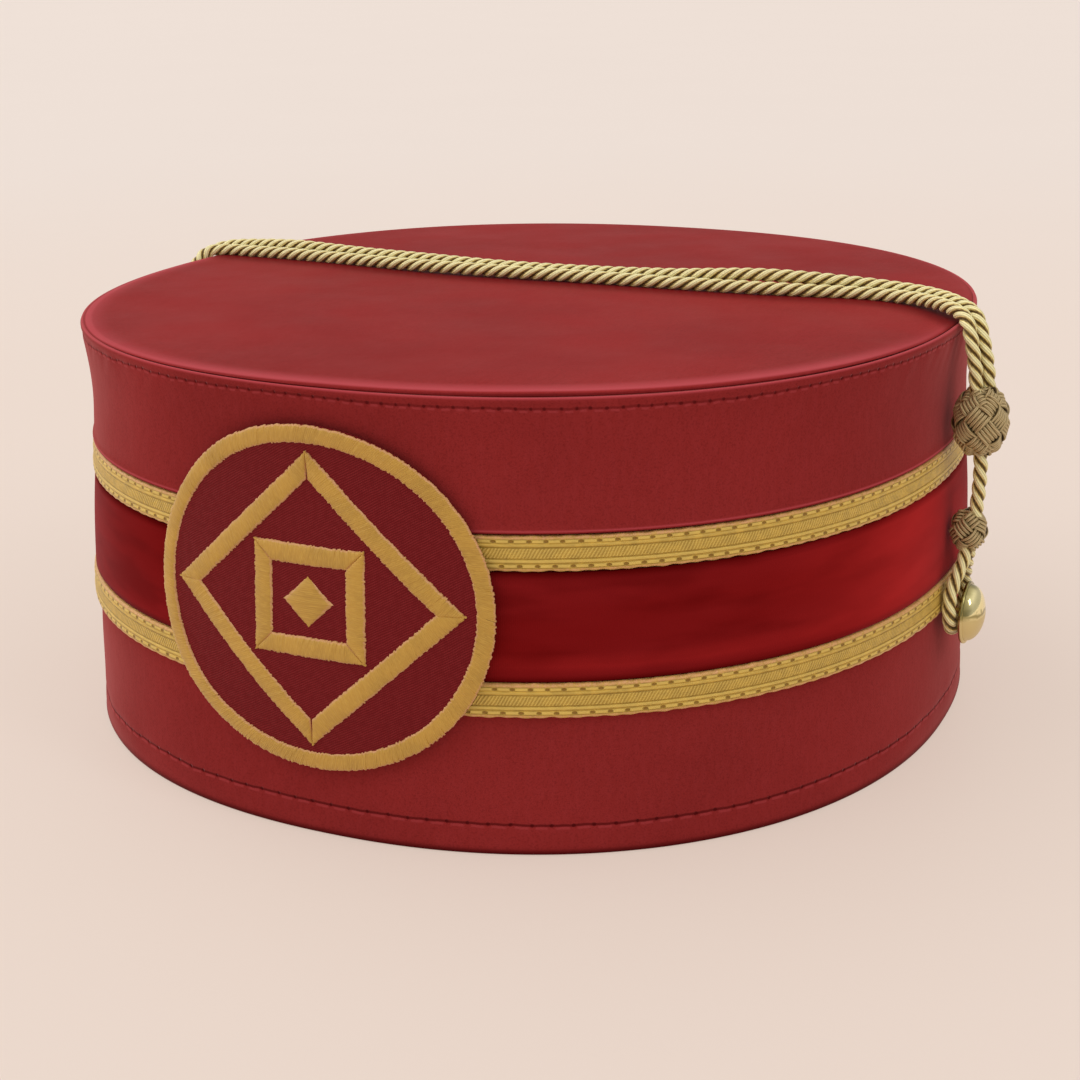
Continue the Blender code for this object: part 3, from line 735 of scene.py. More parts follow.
def makeRopeMaterial(name):
    # u is metres along a ply, v is turns round it; shade is 1 on its outer side and 0 deep in the rope, painted
    # pale as a highlight outside and dark as shade deep in the rope and between the yarns
    yarn = yarns[name]
    material, tree, shader = newMaterial(name, {
        "Roughness": yarn["roughness"], "Metallic": yarn["metallic"], "Specular IOR Level": 0.4,
        "Sheen Weight": yarn["sheen"], "Sheen Tint": (1.0, 0.88, 0.5)})
    spun, shade = lines(uvNode(tree), 420.0, yarn["round"], 0.4), readShade(tree)
    base = blend(yarn["dark"], yarn["light"], ramp(shade, 0.0, 0.5))
    base = blend(base, yarn["pale"], ramp(shade, 0.30, 0.65))
    base = blend(base, yarn["dark"], ramp(spun, 0.45, 0.0, 0.0, 0.45))
    dress(shader, base, (spun, 0.00007, 0.6))
    return material


def makeBrassMaterial():
    # the map's u and v are metres ahead of the button's middle and above it: painted reflections, bright with
    # dark reflected streaks above, and the floor's hazy reflection painted below, where it is also rougher
    material, tree, shader = newMaterial("polishedBrass", {"Metallic": 1.0})
    uv = uvNode(tree)
    ahead, up = splitVector(uv)[:2]
    uneven = minus(noise(uv, 330.0), 0.5)
    raised = addTimes(uneven, 0.0022, up)
    dull = ramp(raised, 0.0010, -0.0004)
    # dark painted reflections: a band across the middle, a ring near the rim and blobs at random
    streaks = times(stripe(raised, 0.0008, 0.0001, 0.0006), 0.75)
    fromMiddle = addTimes(uneven, 0.0012, hypotenuse(ahead, up))
    for other in (ramp(fromMiddle, 0.0050, 0.0060, 0.0, 0.85), ramp(noise(uv, 430.0, 1.0), 0.60, 0.70, 0.0, 0.55)):
        streaks = calc("MAXIMUM", streaks, other)
    base = blend(mottled(tree, gold["brass"], 300.0, 0.1), gold["brassDarkReflection"], streaks)
    give(shader["Roughness"], ramp(dull, 0.0, 1.0, 0.10, 0.38))
    dress(shader, blend(base, gold["brassFloorReflection"], dull), (noise(uv, 900.0), 0.00004, 0.25))
    return material


wallCloth = makeClothMaterial("wallCloth")
topCloth = makeClothMaterial("topCloth", cords=True)
ribbonSatin = makeRibbonMaterial()
goldLace = makeLaceMaterial()
satinStitch = makeStitchMaterial()
badgeTwill = makeTwillMaterial()
goldRope = makeRopeMaterial("goldRope")
knotYarn = makeRopeMaterial("knotYarn")
polishedBrass = makeBrassMaterial()
print("materials made")

# the cords
# Down the side: stand off the wall and place ahead of the side line in diameters, share of the way
dropRoute = [
    (2.60, 0.00, 0.00), (2.58, 0.01, 0.25), (2.50, 0.03, 0.50), (2.38, 0.02, 0.75), (2.22, 0.00, 1.00),
]
loopRoute = [
    (1.66, 0.50, 0.020), (1.54, 0.75, 0.140), (1.36, 1.32, 0.290), (1.18, 1.85, 0.450), (1.06, 2.17, 0.620),
    (1.02, 2.25, 0.790), (0.99, 2.12, 0.950), (0.93, 1.75, 1.090), (0.86, 1.18, 1.197), (0.81, 0.46, 1.253),
    (0.80, -0.29, 1.253), (0.84, -1.01, 1.197), (0.91, -1.59, 1.090), (0.97, -1.96, 0.950),
    (1.01, -2.09, 0.790), (1.05, -2.00, 0.630), (1.14, -1.67, 0.470), (1.31, -1.22, 0.320),
    (1.50, -0.80, 0.170), (1.66, -0.50, 0.020),
]
knots = {
    "clearance": 0.0003,
    "largeHalfHeight": 0.00635,
    "smallHalfHeight": 0.0038,
    "inLarge": (-0.0003, 0.0, 0.002),   # how the cord goes on inside, from where it enters or comes out
    "intoSmall": (0.0, -0.0002, 0.0015),
    "outOfSmall": (0.0, 0.0006, -0.0016),
}


def pairHeight(level):
    knotTop = layers["largeKnot"] + knots["largeHalfHeight"] + knots["clearance"]
    return knotTop + (cap["height"] - knotTop) * min(level, 1) + rope["diameter"] * max(level - 1, 0)


def besidePair(side):
    route = []
    for across, along, level, bearing, steepness in pairRoute:
        turn, rise = math.radians(bearing), math.radians(steepness)
        reach = side * rope["spacing"] / 2
        route.append((cap["halfWidth"] * across + reach * math.cos(rise) * math.cos(turn),
                      cap["halfLength"] * along + reach * math.cos(rise) * math.sin(turn),
                      pairHeight(level) + reach * math.sin(rise)))
    return route


def downSide(rows, start, end):
    route = []
    for stand, ahead, share in rows:
        y = layers["sideLine"] - rope["diameter"] * ahead
        z = start + (end - start) * share
        route.append((sideFace(y, z, rope["diameter"] * stand), y, z))
    return route


def smoothThrough(route, pieces=24):
    points = [Vector(p) for p in route]
    points = [points[0] * 2 - points[1], *points, points[-1] * 2 - points[-2]]
    fine = []
    for a, b, c, d in zip(points, points[1:], points[2:], points[3:]):
        for i in range(pieces):
            t = i / pieces
            fine.append(0.5 * (2 * b + (c - a) * t + (2 * a - 5 * b + 4 * c - d) * t * t
                               + (3 * b - a - 3 * c + d) * t ** 3))
    fine.append(points[-2])
    return np.array(fine)


def evenLine(points, step):
    lengths = lengthsAlong(points)
    at = np.linspace(0, lengths[-1], int(round(lengths[-1] / step)) + 1)
    return np.stack([np.interp(at, lengths, points[:, k]) for k in range(3)], axis=1), at


def unit(vectors):
    return vectors / np.linalg.norm(vectors, axis=1)[:, None]


def carriedFrames(line, closed=False):
    # two directions across the line that turn as little as they can
    ahead = np.roll(line, -1, axis=0) - np.roll(line, 1, axis=0)
    if not closed:
        ahead[0], ahead[-1] = line[1] - line[0], line[-1] - line[-2]
    ahead = unit(ahead)
    across = np.empty_like(line)
    first = np.cross(ahead[0], (0.3, 0.2, 1.0))
    across[0] = first / np.linalg.norm(first)
    for i in range(1, len(line)):
        carried = across[i - 1] - ahead[i] * np.dot(across[i - 1], ahead[i])
        across[i] = carried / np.linalg.norm(carried)
    return ahead, across, np.cross(ahead, across)


def addTube(name, line, radius, sides, along, outward, hidden=0.0, depth=None):
    # A round tube made from a flat grid that is rolled up along the line, with painted shade by how far out it
    # faces. A knot's strand is closed and its depth paints shade where it passes under another; a rope's ply is
    # open and has painted shade on its underside.
    closed = depth is not None
    count = len(line)
    tube, around, _, index = addStrip(name, sides, count if closed else count - 1)
    at = index % count
    ahead, across, over = carriedFrames(line, closed)
    turn = 2 * math.pi * around
    if closed:  # the last mismatch is spread over the whole round
        last = across[-1] - ahead[0] * np.dot(across[-1], ahead[0])
        twist = math.atan2(np.dot(last, over[0]), np.dot(last, across[0]))
        turn = turn - twist * index / count
        along = np.append(along, 2 * along[-1] - along[-2])
    reach = np.cos(turn)[:, None] * across[at] + np.sin(turn)[:, None] * over[at]
    shade = np.clip((np.sum(reach * outward[at], axis=1) - hidden) / (1 - hidden), 0, 1)
    shade = shade * (depth[at] if closed else np.clip(0.92 + 0.40 * reach[:, 2], 0.4, 1))
    shapeStrip(tube, line[at] + radius * reach, (along[index], around), shade, 0.0000005, not closed)
    return tube


def makeRope(name, route, nodes):
    line, along = evenLine(smoothThrough(route), rope["step"])
    _, across, over = carriedFrames(line)
    reach = rope["overall"] / 2 - rope["plyRadius"]
    plies = []
    for ply in range(rope["plies"]):
        turn = -2 * math.pi * (along / rope["lay"] + ply / rope["plies"])
        outward = np.cos(turn)[:, None] * across + np.sin(turn)[:, None] * over
        plies.append(addTube(f"{name}{ply}", line + reach * outward, rope["plyRadius"], rope["sides"], along,
                             outward, rope["hidden"]))
    whole = finishPiece(joinAll(name, plies), goldRope, nodes, 80)
    path = line[::rope["pathStep"]]
    if (len(line) - 1) % rope["pathStep"]:
        path = np.concatenate([path, line[-1:]])


def wholeRoute(crown, flip):
    # over the crown, through the large knot, down to the small one, round the shank and back
    largeFoot = layers["largeKnot"] - knots["largeHalfHeight"] - knots["clearance"]
    smallTop = layers["smallKnot"] + knots["smallHalfHeight"] + knots["clearance"]
    smallFoot = layers["smallKnot"] - knots["smallHalfHeight"] - knots["clearance"]
    side = downSide(dropRoute, largeFoot, smallTop)
    loop = downSide(loopRoute, smallFoot, layers["button"])
    inKnots = [(start[0] + move[0], start[1] + move[1], layers[knot] + move[2]) for start, knot, move in (
        (side[0], "largeKnot", knots["inLarge"]), (side[-1], "smallKnot", knots["intoSmall"]),
        (loop[0], "smallKnot", knots["outOfSmall"]))]
    below = [inKnots[0], *side, *inKnots[1:], *loop]
    return crown + [(flip * x, y, z) for x, y, z in below]


# knots, woven from one long round of several strands
knotShapes = {
    "large": {
        "halfX": 0.00460, "halfY": 0.00522, "halfHeight": 0.0055, "stand": 0.0066, "on": "panel",
        "leads": 7, "bights": 6, "strands": 5, "strandRadius": 0.00041, "pitch": 0.00077,
        "weave": 0.00060, "widest": 66, "steps": 900, "turnedBy": 0.35,
    },
    "small": {
        "halfX": 0.00292, "halfY": 0.00334, "halfHeight": 0.0031, "stand": 0.0042, "on": "band",
        "leads": 5, "bights": 4, "strands": 4, "strandRadius": 0.00038, "pitch": 0.00078,
        "weave": 0.00046, "widest": 62, "steps": 560, "turnedBy": 0.9,
    },
}


def knotSurface(shape, turn, lift, rise):
    # a barrel: turn round it, lift from -1 to 1 up it, rise off its face
    latitude = math.radians(shape["widest"]) * lift
    wide = np.cos(latitude) ** 0.75
    up = np.sin(latitude) / math.sin(math.radians(shape["widest"]))
    return np.stack([(shape["halfX"] + rise) * wide * np.cos(turn), (shape["halfY"] + rise) * wide * np.sin(turn),
                     (shape["halfHeight"] + rise * 0.6) * up], axis=-1)


def makeKnot(kind, side, sign):
    shape, name = knotShapes[kind], f"{kind}Knot{side.title()}"
    height = layers[kind + "Knot"]
    out = sideFace(layers["sideLine"], height, layers["back"] + layers[shape["on"]] + shape["stand"])
    centre = np.array([sign * out, layers["sideLine"], height])
    t = np.arange(shape["steps"]) / shape["steps"] * 2 * math.pi
    leads, bights = shape["leads"], shape["bights"]
    turn = leads * t + shape["turnedBy"]
    lift = np.sin(bights * t)
    crossing = t * leads * bights / math.pi - leads / 2       # a whole number where strands cross
    leg = np.floor(crossing / leads)
    within = crossing / leads - leg
    swell = np.clip(np.minimum(within, 1 - within) * leads / 0.75, 0, 1)
    rise = shape["weave"] * np.cos(math.pi * (crossing + leg)) * swell
    middle = knotSurface(shape, turn, lift, rise)
    ahead = unit(np.roll(middle, -1, axis=0) - np.roll(middle, 1, axis=0))
    outward = unit(knotSurface(shape, turn, lift, rise + 0.001) - middle)
    sideways = unit(np.cross(outward, ahead))
    along = lengthsAlong(middle)
    # painted shade where a strand passes under another
    depth = 0.72 + 0.28 * rise / shape["weave"]
    pieces = []
    for strand in range(shape["strands"]):
        reach = (strand - (shape["strands"] - 1) / 2) * shape["pitch"]
        pieces.append(addTube(f"{name}Strand{strand}", middle + sideways * reach + centre, shape["strandRadius"],
                              8, along, outward, depth=depth))
    # a core inside the strands, painted in the yarn's darkest colour as the shade between them
    clearSelection()
    bpy.ops.mesh.primitive_uv_sphere_add(segments=24, ring_count=12, radius=1)
    core = bpy.context.object
    core.name = name + "Core"
    halves = np.array([shape["halfX"], shape["halfY"], shape["halfHeight"]])
    setPoints(core, getPoints(core) * (halves - shape["strandRadius"] * 2.2) + centre)
    setShade(core, np.zeros(len(core.data.vertices)))
    return finishPiece(joinAll(name, pieces + [core]), knotYarn, [f"{kind}_knot_{side}"], 80)


rightKnots = [makeKnot(kind, "right", 1) for kind in knotShapes]
leftKnots = [makeKnot(kind, "left", -1) for kind in knotShapes]
print("knots woven")

makeRope("ropeFront", wholeRoute(besidePair(-1)[::-1], 1),
         ["crown_cord_front", "drop_cord_right", "loop_cord_right"])
makeRope("ropeRear", wholeRoute(besidePair(1), -1),
         ["crown_cord_rear", "drop_cord_left", "loop_cord_left"])
print("ropes laid")

# the rows of stitching draw the cloth in a little
stitches = {
    "groove": 0.00012,
    "grooveSpread": 0.0009,
    "pucker": 0.00005,
    "puckerSpread": 0.0022,
    "puckers": 0.31,       # for each stitch
}


def stitchRelief(along, z, row):
    rowHeight, pitch = stitchRows[row][:2]
    off = z - rowHeight
    turns = round(girth / pitch * stitches["puckers"]) * along / girth
    return (-stitches["groove"] * bell(off, stitches["grooveSpread"])
            - stitches["pucker"] * bell(off, stitches["puckerSpread"]) * np.cos(2 * math.pi * turns))


def layRound(name, columns, profile, relief, material, node, smooth=50, mapFrom=0.0):
    # A strip cut flat, shaped and laid round the cap, sewn shut at the back.
    # The profile is a closed row of (height, stand, onFace).
    profile = np.array(profile + profile[:1], dtype=float)
    strip, u, _, row = addStrip(name, columns, len(profile) - 1)
    z, stand, face = profile[row].T
    mapAlong = u * girth
    along = np.mod(mapAlong - girth / 2, girth)
    lift, rise, shade = relief(along, z)
    z = z + rise * face
    shapeStrip(strip, onWall(along, z, stand + lift * face), (mapAlong, z - mapFrom), shade)
    finishPiece(strip, material, [node], smooth)


# the wall
wallPiece = {
    "columns": 960,
    "hemRound": 0.0007,
    "unevenness": 0.00022,
    "lipUnder": 0.0005,        # how far its top lies under the lip of the panel
    "ledge": (0.0032, -0.0017),   # under the lip, and in from the face: what the flat top sits on
    "hemFold": (0.0016, 0.0007, 0.00006),   # height, spread and depth
    "hemTop": 0.0058,
}


def wallProfile():
    hem, thick = wallPiece["hemRound"], cap["wall"]
    top = cap["height"] - wallPiece["lipUnder"]
    ledge, lip = cap["height"] - wallPiece["ledge"][0], wallPiece["ledge"][1]
    rows = [(0.0, -hem, 0), (hem * 0.3, -hem * 0.3, 0), (hem, 0.0, 0)]
    rows += [(z, 0, 1) for z in np.arange(0.0014, 0.0096, 0.00045)]
    rows += [(z, 0, 1) for z in np.arange(0.0105, 0.0270, 0.0015)]
    rows += [(z, 0, 0) for z in np.linspace(0.029, top, 9)]
    rows += [(top, lip, 0), (ledge, lip, 0), (ledge, -thick, 0)]
    rows += [(z, -thick, 0) for z in np.linspace(0.07, 0.004, 9)]
    return rows + [(hem, -thick, 0), (hem * 0.3, -thick + hem * 0.3, 0), (0.0, -thick + hem, 0)]


def wallRelief(along, z):
    lift = stitchRelief(along, z, "hem")
    lift += wallPiece["unevenness"] * softNoise(along, z, 5, 0.03) * np.clip(z / 0.004, 0, 1)
    height, spread, depth = wallPiece["hemFold"]
    hem = 1 / (1 + np.exp((z - wallPiece["hemTop"]) / 0.0003))
    # painted shade along the bottom edge and on the groove's floor under the lip, and a little darker below the hem
    # stitches
    inGroove = np.where(z > cap["height"] - 0.0034, 0.5, 0.0)
    return lift - depth * bell(z - height, spread), 0 * z, -bell(z, 0.0011) - 0.10 * hem - inGroove


layRound("crownWall", wallPiece["columns"], wallProfile(), wallRelief, wallCloth, "crown_wall", 35)

# the upper layer of cloth
panelPiece = {
    "columns": 960,
    "fold": 0.00022,
    "foot": layers["upperBraid"] + layers["braidWidth"] + 0.0003,
    "unevenness": 0.00020,
    "creases": 0.00010,
}


def panelProfile():
    back, foot, fold, top = layers["back"], panelPiece["foot"], panelPiece["fold"], cap["height"]
    face = back + layers["panel"]
    rows = [(foot + 0.0002, back, 0), (foot, face * 0.6, 0), (foot + 0.0001, face + fold * 0.6, 0),
            (foot + 0.0005, face + fold, 0), (foot + 0.0009, face + fold * 0.75, 0),
            (foot + 0.0014, face + fold * 0.15, 0), (foot + 0.0020, face, 1)]
    rows += [(z, face, 1) for z in np.arange(foot + 0.0035, top - 0.0052, 0.0015)]
    rows += [(z, face, 1) for z in np.arange(top - 0.0050, top - 0.0012, 0.00042)]
    rows += [(top - 0.0009, face + 0.00004, 0), (top - 0.0005, face + 0.00002, 0), (top - 0.0001, face - 0.0002, 0),
             (top, face - 0.0005, 0), (top - 0.00012, 0.0004, 0), (top - 0.0006, back, 0)]
    return rows + [(top - 0.006, back, 0), (top - 0.014, back, 0)]


def panelRelief(along, z):
    foot, top, row = panelPiece["foot"], cap["height"], stitchRows["lip"][0]
    creases = softNoise(along + (top - z) * 0.6, z * 0.2, 11, 0.007) * bell(row - z, 0.006) * (z < row)
    lift = (stitchRelief(along, z, "lip") + panelPiece["unevenness"] * softNoise(along, z, 8, 0.035)
            + panelPiece["creases"] * creases)
    # painted highlight on its folded lower edge and on the lip, and painted shade just under the fold
    shade = 0.85 * bell(z - foot - 0.00055, 0.00016) - 0.60 * bell(z - foot, 0.00026)
    return lift, 0 * z, shade + 0.75 * bell(z - top + 0.00010, 0.00018)


layRound("upperPanel", panelPiece["columns"], panelProfile(), panelRelief, wallCloth,
         "upper_panel", 40)
print("wall and panel sewn")

# the flat top
topPiece = {
    "gap": [(-180, 0.0), (-128, 0.0), (-110, 0.0005), (-88, 0.0015), (-65, 0.0021), (-40, 0.0015), (-12, 0.0003),
            (60, 0.0001), (120, 0.0), (180, 0.0)],   # bearing from +X in degrees, from the lip to the disc's edge
    "widestGap": 0.0021,
    "paintedEdgeLight": [(-180, 1.0), (-30, 0.95), (5, 0.3), (130, 0.3), (180, 1.0)],   # bearing by bearing, how bright the painted highlight on its edge is
    "lipBack": (0.0006, 0.0001),        # without a gap and with the widest one
    "edgeHeight": (0.00028, 0.00085),
    "ledge": 0.0024,      # how far its foot stands in from its edge
    "thickness": 0.0028,
    "over": 0.0002,       # how far it stands over the lip
    "rise": 0.0004,
    "waves": 0.00010,
    "shoulder": 0.0019,
    "columns": 360,
    "rings": (0.965, 0.945, 0.92, 0.89, 0.85, 0.8, 0.74, 0.67, 0.6, 0.52, 0.44, 0.36, 0.28, 0.2, 0.12, 0.05, 0.0),
    # row by row: painted shade low on its edge where the gap opens, and painted highlight on its shoulder
    "edgeRows": (0, 4, 5, 6, 7, 9, 11, 12),
    "edgeShades": (-0.6, -0.6, -0.3, 0.3, 0.85, 0.75, 0.2, 0.0),
}


def makeTop():
    high = cap["height"] + topPiece["over"]
    low = high - topPiece["thickness"]
    shoulder, ledge = topPiece["shoulder"], topPiece["ledge"]
    # share of the way out, depth under the surface in edge heights, inset
    rows = [(0.0, 0.0, ledge), (0.5, 0.0, ledge), (1.0, 0.0, ledge), (1.0, 1.0, ledge), (1.0, 1.0, 0.0001)]
    for turn in (15, 30, 45, 60, 75, 90):
        part = math.radians(turn)
        rows.append((1.0, 1 - math.sin(part), shoulder * (1 - math.cos(part))))
    rows += [(share, 0.0, shoulder * share) for share in topPiece["rings"]]
    strip, u, _, row = addStrip("crownTop", topPiece["columns"], len(rows) - 1)
    share, depth, inset = np.array(rows)[row].T
    angle = 2 * math.pi * u
    bearing = np.degrees(np.mod(angle + math.pi, 2 * math.pi) - math.pi)
    gap = np.interp(bearing, *zip(*topPiece["gap"]))
    gapShare = gap / topPiece["widestGap"]
    height = np.where(row < 3, low, high - depth * np.interp(gapShare, (0, 1), topPiece["edgeHeight"]))
    back = np.interp(gapShare, (0, 1), topPiece["lipBack"])
    edge = ovalPoint(angle, 0 * angle + cap["height"], back - gap - inset)
    x, y = edge[:, 0] * share, edge[:, 1] * share
    onTop = row > 10
    waves = np.sin(x * 95 + 1.0) * np.sin(y * 60 + 0.4) + 0.6 * np.sin(x * 40 - y * 75)
    z = height + topPiece["rise"] * (1 - share ** 2) * onTop
    z = z + topPiece["waves"] * waves * onTop * np.clip((1 - share) * 8, 0, 1)
    # painted shade on the lower edge where the gap behind the lip opens, and painted highlight on the shoulder,
    # brighter at some bearings
    paintedEdgeLight = np.interp(row - 2.2 * gapShare, topPiece["edgeRows"], topPiece["edgeShades"])
    bright = np.interp(bearing, *zip(*topPiece["paintedEdgeLight"]))
    shade = np.where(paintedEdgeLight < 0, paintedEdgeLight * gapShare, paintedEdgeLight * bright) * np.clip((12 - row) * 0.5, 0, 1)
    shapeStrip(strip, np.stack([x, y, z], axis=1), (x, y), shade, 0.000004)
    finishPiece(strip, topCloth, ["crown_top"])


makeTop()
print("top laid in")

# the ribbon
bandPiece = {
    "columns": 480,
    "unevenness": 0.00014,
    "swell": 0.00012,
    "edge": 0.0002,                # clear of the lace
    "highlight": (0.128, 0.030, 0.85),   # a painted highlight: along, spread, how much
    # a painted highlight streak just above the lower lace: along, spread, how much
    "streak": (0.06, 0.05, 0.35),
    "atLace": (0.0009, 0.75),      # how far and how much painted shade lies beside the lace
}


def bandProfile():
    low = layers["lowerBraid"] + layers["braidWidth"] + bandPiece["edge"]
    high = layers["upperBraid"] - bandPiece["edge"]
    back, face = layers["back"], layers["back"] + layers["band"]
    rows = [(low, back, 0), (low, face * 0.7, 0), (low + 0.0004, face, 1)]
    rows += [(z, face, 1) for z in np.linspace(low + 0.0016, high - 0.0016, 14)]
    return rows + [(high - 0.0004, face, 1), (high, face * 0.7, 0), (high, back, 0), ((low + high) / 2, back, 0)]


def bandRelief(along, z):
    low = layers["lowerBraid"] + layers["braidWidth"]
    middle = low + 0.0098
    swell = bandPiece["swell"] * np.cos((z - middle) / 0.0095 * math.pi / 2)
    (highlightAt, highlightSpread, highlight), (streakAt, streakSpread, streak) = bandPiece["highlight"], bandPiece["streak"]
    near, darker = bandPiece["atLace"]
    fromLace = np.maximum(np.minimum(z - low, layers["upperBraid"] - z) - bandPiece["edge"], 0)
    # painted highlight on the right and in a streak, less painted shade beside the lace
    paintedLight = (highlight * bell(along - highlightAt, highlightSpread)
               + streak * bell(z - middle + 0.0062, 0.0012) * bell(along - streakAt, streakSpread)
               - darker * bell(fromLace, near))
    return swell + bandPiece["unevenness"] * softNoise(along, z * 2.0, 21, 0.03), 0 * z, paintedLight


layRound("velvetBand", bandPiece["columns"], bandProfile(), bandRelief, ribbonSatin, "velvet_band")

# the gold lace
laceRelief = {
    "shares": (0.0, 0.03, 0.07, 0.11, 0.15, 0.19, 0.225, 0.26, 0.295, 0.33, 0.38, 0.44, 0.5, 0.56, 0.62, 0.67,
               0.705, 0.74, 0.775, 0.81, 0.85, 0.89, 0.93, 0.97, 1.0),
    "ground": -0.00008,
    "raised": [(0.295, 0.028, 0.00016), (0.735, 0.028, 0.00016), (0.16, 0.045, 0.00010), (0.85, 0.045, 0.00010)],
    "middle": (0.13, 0.00007),     # spread and height
    "edge": (0.00016, 0.00042),    # how far in and how deep it falls off
    "raggedness": 2.2,             # for its scallops
}


def makeLace(name, low, node):
    width = layers["braidWidth"]
    back, face = layers["back"], layers["back"] + lace["thickness"]
    rows = [(low, back, 0), *[(low + width * s, face, 1) for s in laceRelief["shares"]], (low + width, back, 0)]

    def relief(along, z):
        s = (z - low) / width
        lift = laceRelief["ground"] + laceRelief["middle"][1] * np.exp(
            -((s - lace["middle"]) / laceRelief["middle"][0]) ** 4)
        for place, spread, height in laceRelief["raised"]:
            lift = lift + height * bell(s - place, spread)
        atEdge = np.minimum(s, 1 - s) * width
        lift = lift - laceRelief["edge"][1] * bell(atEdge, laceRelief["edge"][0])
        turns = np.round(girth / lace["pitch"]) * along / girth
        swing = 2 * math.pi * np.where(s < 0.5, turns, turns + 0.5)
        scallop = lace["scallop"] * (np.cos(swing) + laceRelief["raggedness"] * softNoise(along, 0 * z, 41, 0.004))
        return lift, np.where(s < 0.5, 1.0, -1.0) * scallop * bell(atEdge, 0.0006), 0 * z

    layRound(name, lace["columns"], rows, relief, goldLace, node, 60, low)


makeLace("lowerBraid", layers["lowerBraid"], "lower_braid")
makeLace("upperBraid", layers["upperBraid"], "upper_braid")
print("ribbon and lace laid")

# the badge
threadCount = 2400
jagged = np.random.default_rng(17).uniform(-1, 1, (4, threadCount))
satinSections = {  # the way across and how raised each row is
    "ring": ((0.0, 0.0, 0.04, 0.12, 0.25, 0.4, 0.6, 0.75, 0.88, 0.96, 1.0, 1.0, 0.5, 0.0),
             (0, 0.25, 1, 1, 1, 1, 1, 1, 1, 1, 0.25, 0, 0, 0)),
    "bar": ((0.0, 0.0, 0.05, 0.15, 0.3, 0.5, 0.7, 0.85, 0.95, 1.0, 1.0, 0.5, 0.0),
            (0, 0.25, 1, 1, 1, 1, 1, 1, 1, 0.25, 0, 0, 0)),
    "lozenge": ((0.0, 0.0, 0.05, 0.2, 0.35, 0.5, 0.65, 0.8, 0.95, 1.0, 1.0, 0.5, 0.0),
                (0, 0.25, 1, 1, 1, 1, 1, 1, 1, 0.25, 0, 0, 0)),
}


def startSatin(name, section, length):
    # a strip with four columns to a thread, and the length of its whole number of threads
    threads = round(length / badge["stitch"])
    across, raised = np.array(satinSections[section], dtype=float)
    strip, u, _, row = addStrip(name, threads * 4, len(across) - 1)
    return strip, u, threads * badge["stitch"], across[row], raised[row]


def satin(along, across):
    # lift, shade and number of the stitches that run, leaning a little, from across 0 to across 1
    thread = along / badge["stitch"]
    ridge = np.abs(np.sin(math.pi * thread))
    number = np.floor(thread).astype(int) % threadCount
    crown = 1 - np.abs(2 * across - 1) ** 3.2
    lift = badge["stitchRise"] * (0.30 + 0.70 * crown) + 0.00005 * ridge + 0.00003 * jagged[2][number]
    return lift, np.clip(0.38 + 0.55 * ridge + 0.15 * jagged[3][number], 0, 1.2), number


def finishSatin(strip, x, y, lift, raised, mapAlong, across, shade):
    place = onBadge(x, y, badge["thickness"] - badge["stitchFoot"] + lift * raised)
    # painted shade where the rows are less raised, at the sides
    shapeStrip(strip, place, (mapAlong, across), shade * (0.4 + 0.6 * raised))
    return strip


def makeRing():
    width = badge["ringWidth"]
    length = math.pi * (badge["halfWidth"] + badge["halfHeight"] - width)
    strip, u, sewn, across, raised = startSatin("badgeRing", "ring", length)
    lift, shade, number = satin(u * sewn, across)
    grow = badge["ragged"] * (jagged[0][number] * (across < 0.5) - jagged[1][number] * (across > 0.5))
    inset = across * width - grow
    turn = 2 * math.pi * u + badge["slant"] * width * (across - 0.5) / badge["halfWidth"]
    finishSatin(strip, (badge["halfWidth"] - inset) * np.cos(turn), (badge["halfHeight"] - inset) * np.sin(turn),
                lift, raised, u * length, across, shade)
    finishPiece(strip, satinStitch, ["badge_ring"], 60)


def makeBar(name, start, end):
    # one side of a frame, mitred at both ends; start and end are its outer corners, its inside on the left
    width, length = badge["bar"], math.dist(start, end)
    strip, u, _, across, raised = startSatin(name, "bar", length)
    a = np.clip(u * length, 0.00002, length - 0.00002)
    toEnd = np.minimum(a, length - a)
    depth = np.minimum(width, toEnd + 0.0001)
    lift, shade, number = satin(a, across)
    lift = lift * np.clip(depth / (width * 0.3), 0.75, 1)
    a = a + badge["slant"] * width * (across - 0.5) * np.clip(toEnd / (2 * width) - 0.5, 0, 1)
    full = depth >= width * 0.999
    grow = badge["ragged"] * (jagged[0][number] * (across < 0.5) - jagged[1][number] * (across > 0.5) * full)
    inset = across * depth - grow
    lineX, lineY = (end[0] - start[0]) / length, (end[1] - start[1]) / length
    return finishSatin(strip, start[0] + lineX * a - lineY * inset, start[1] + lineY * a + lineX * inset,
                       lift, raised, a, across, shade)


def makeSquare(name, reach, turnedBy, node):
    stretch = badge["halfWidth"] / badge["halfHeight"]
    angles = [turnedBy + k * math.pi / 2 for k in range(4)]
    corners = [(reach * stretch * math.cos(angle), reach * math.sin(angle)) for angle in angles]
    bars = [makeBar(f"{name}Bar{k}", corners[k], corners[(k + 1) % 4]) for k in range(4)]
    finishPiece(joinAll(name, bars), satinStitch, [node], 60)


def makeLozenge(reach):
    strip, u, _, across, raised = startSatin("badgeLozenge", "lozenge", 2 * reach)
    up = (u * 2 - 1) * reach
    half = np.maximum((reach - np.abs(up)) * badge["halfWidth"] / badge["halfHeight"], 0.00003)
    lift, shade, number = satin(u * 2 * reach, across)
    x = (across * 2 - 1) * (half + badge["ragged"] * jagged[0][number] * (half > 0.0004))
    finishSatin(strip, x, up, lift * np.clip(half / 0.002, 0.25, 1), raised, up, across, shade)
    finishPiece(strip, satinStitch, ["badge_lozenge"], 60)


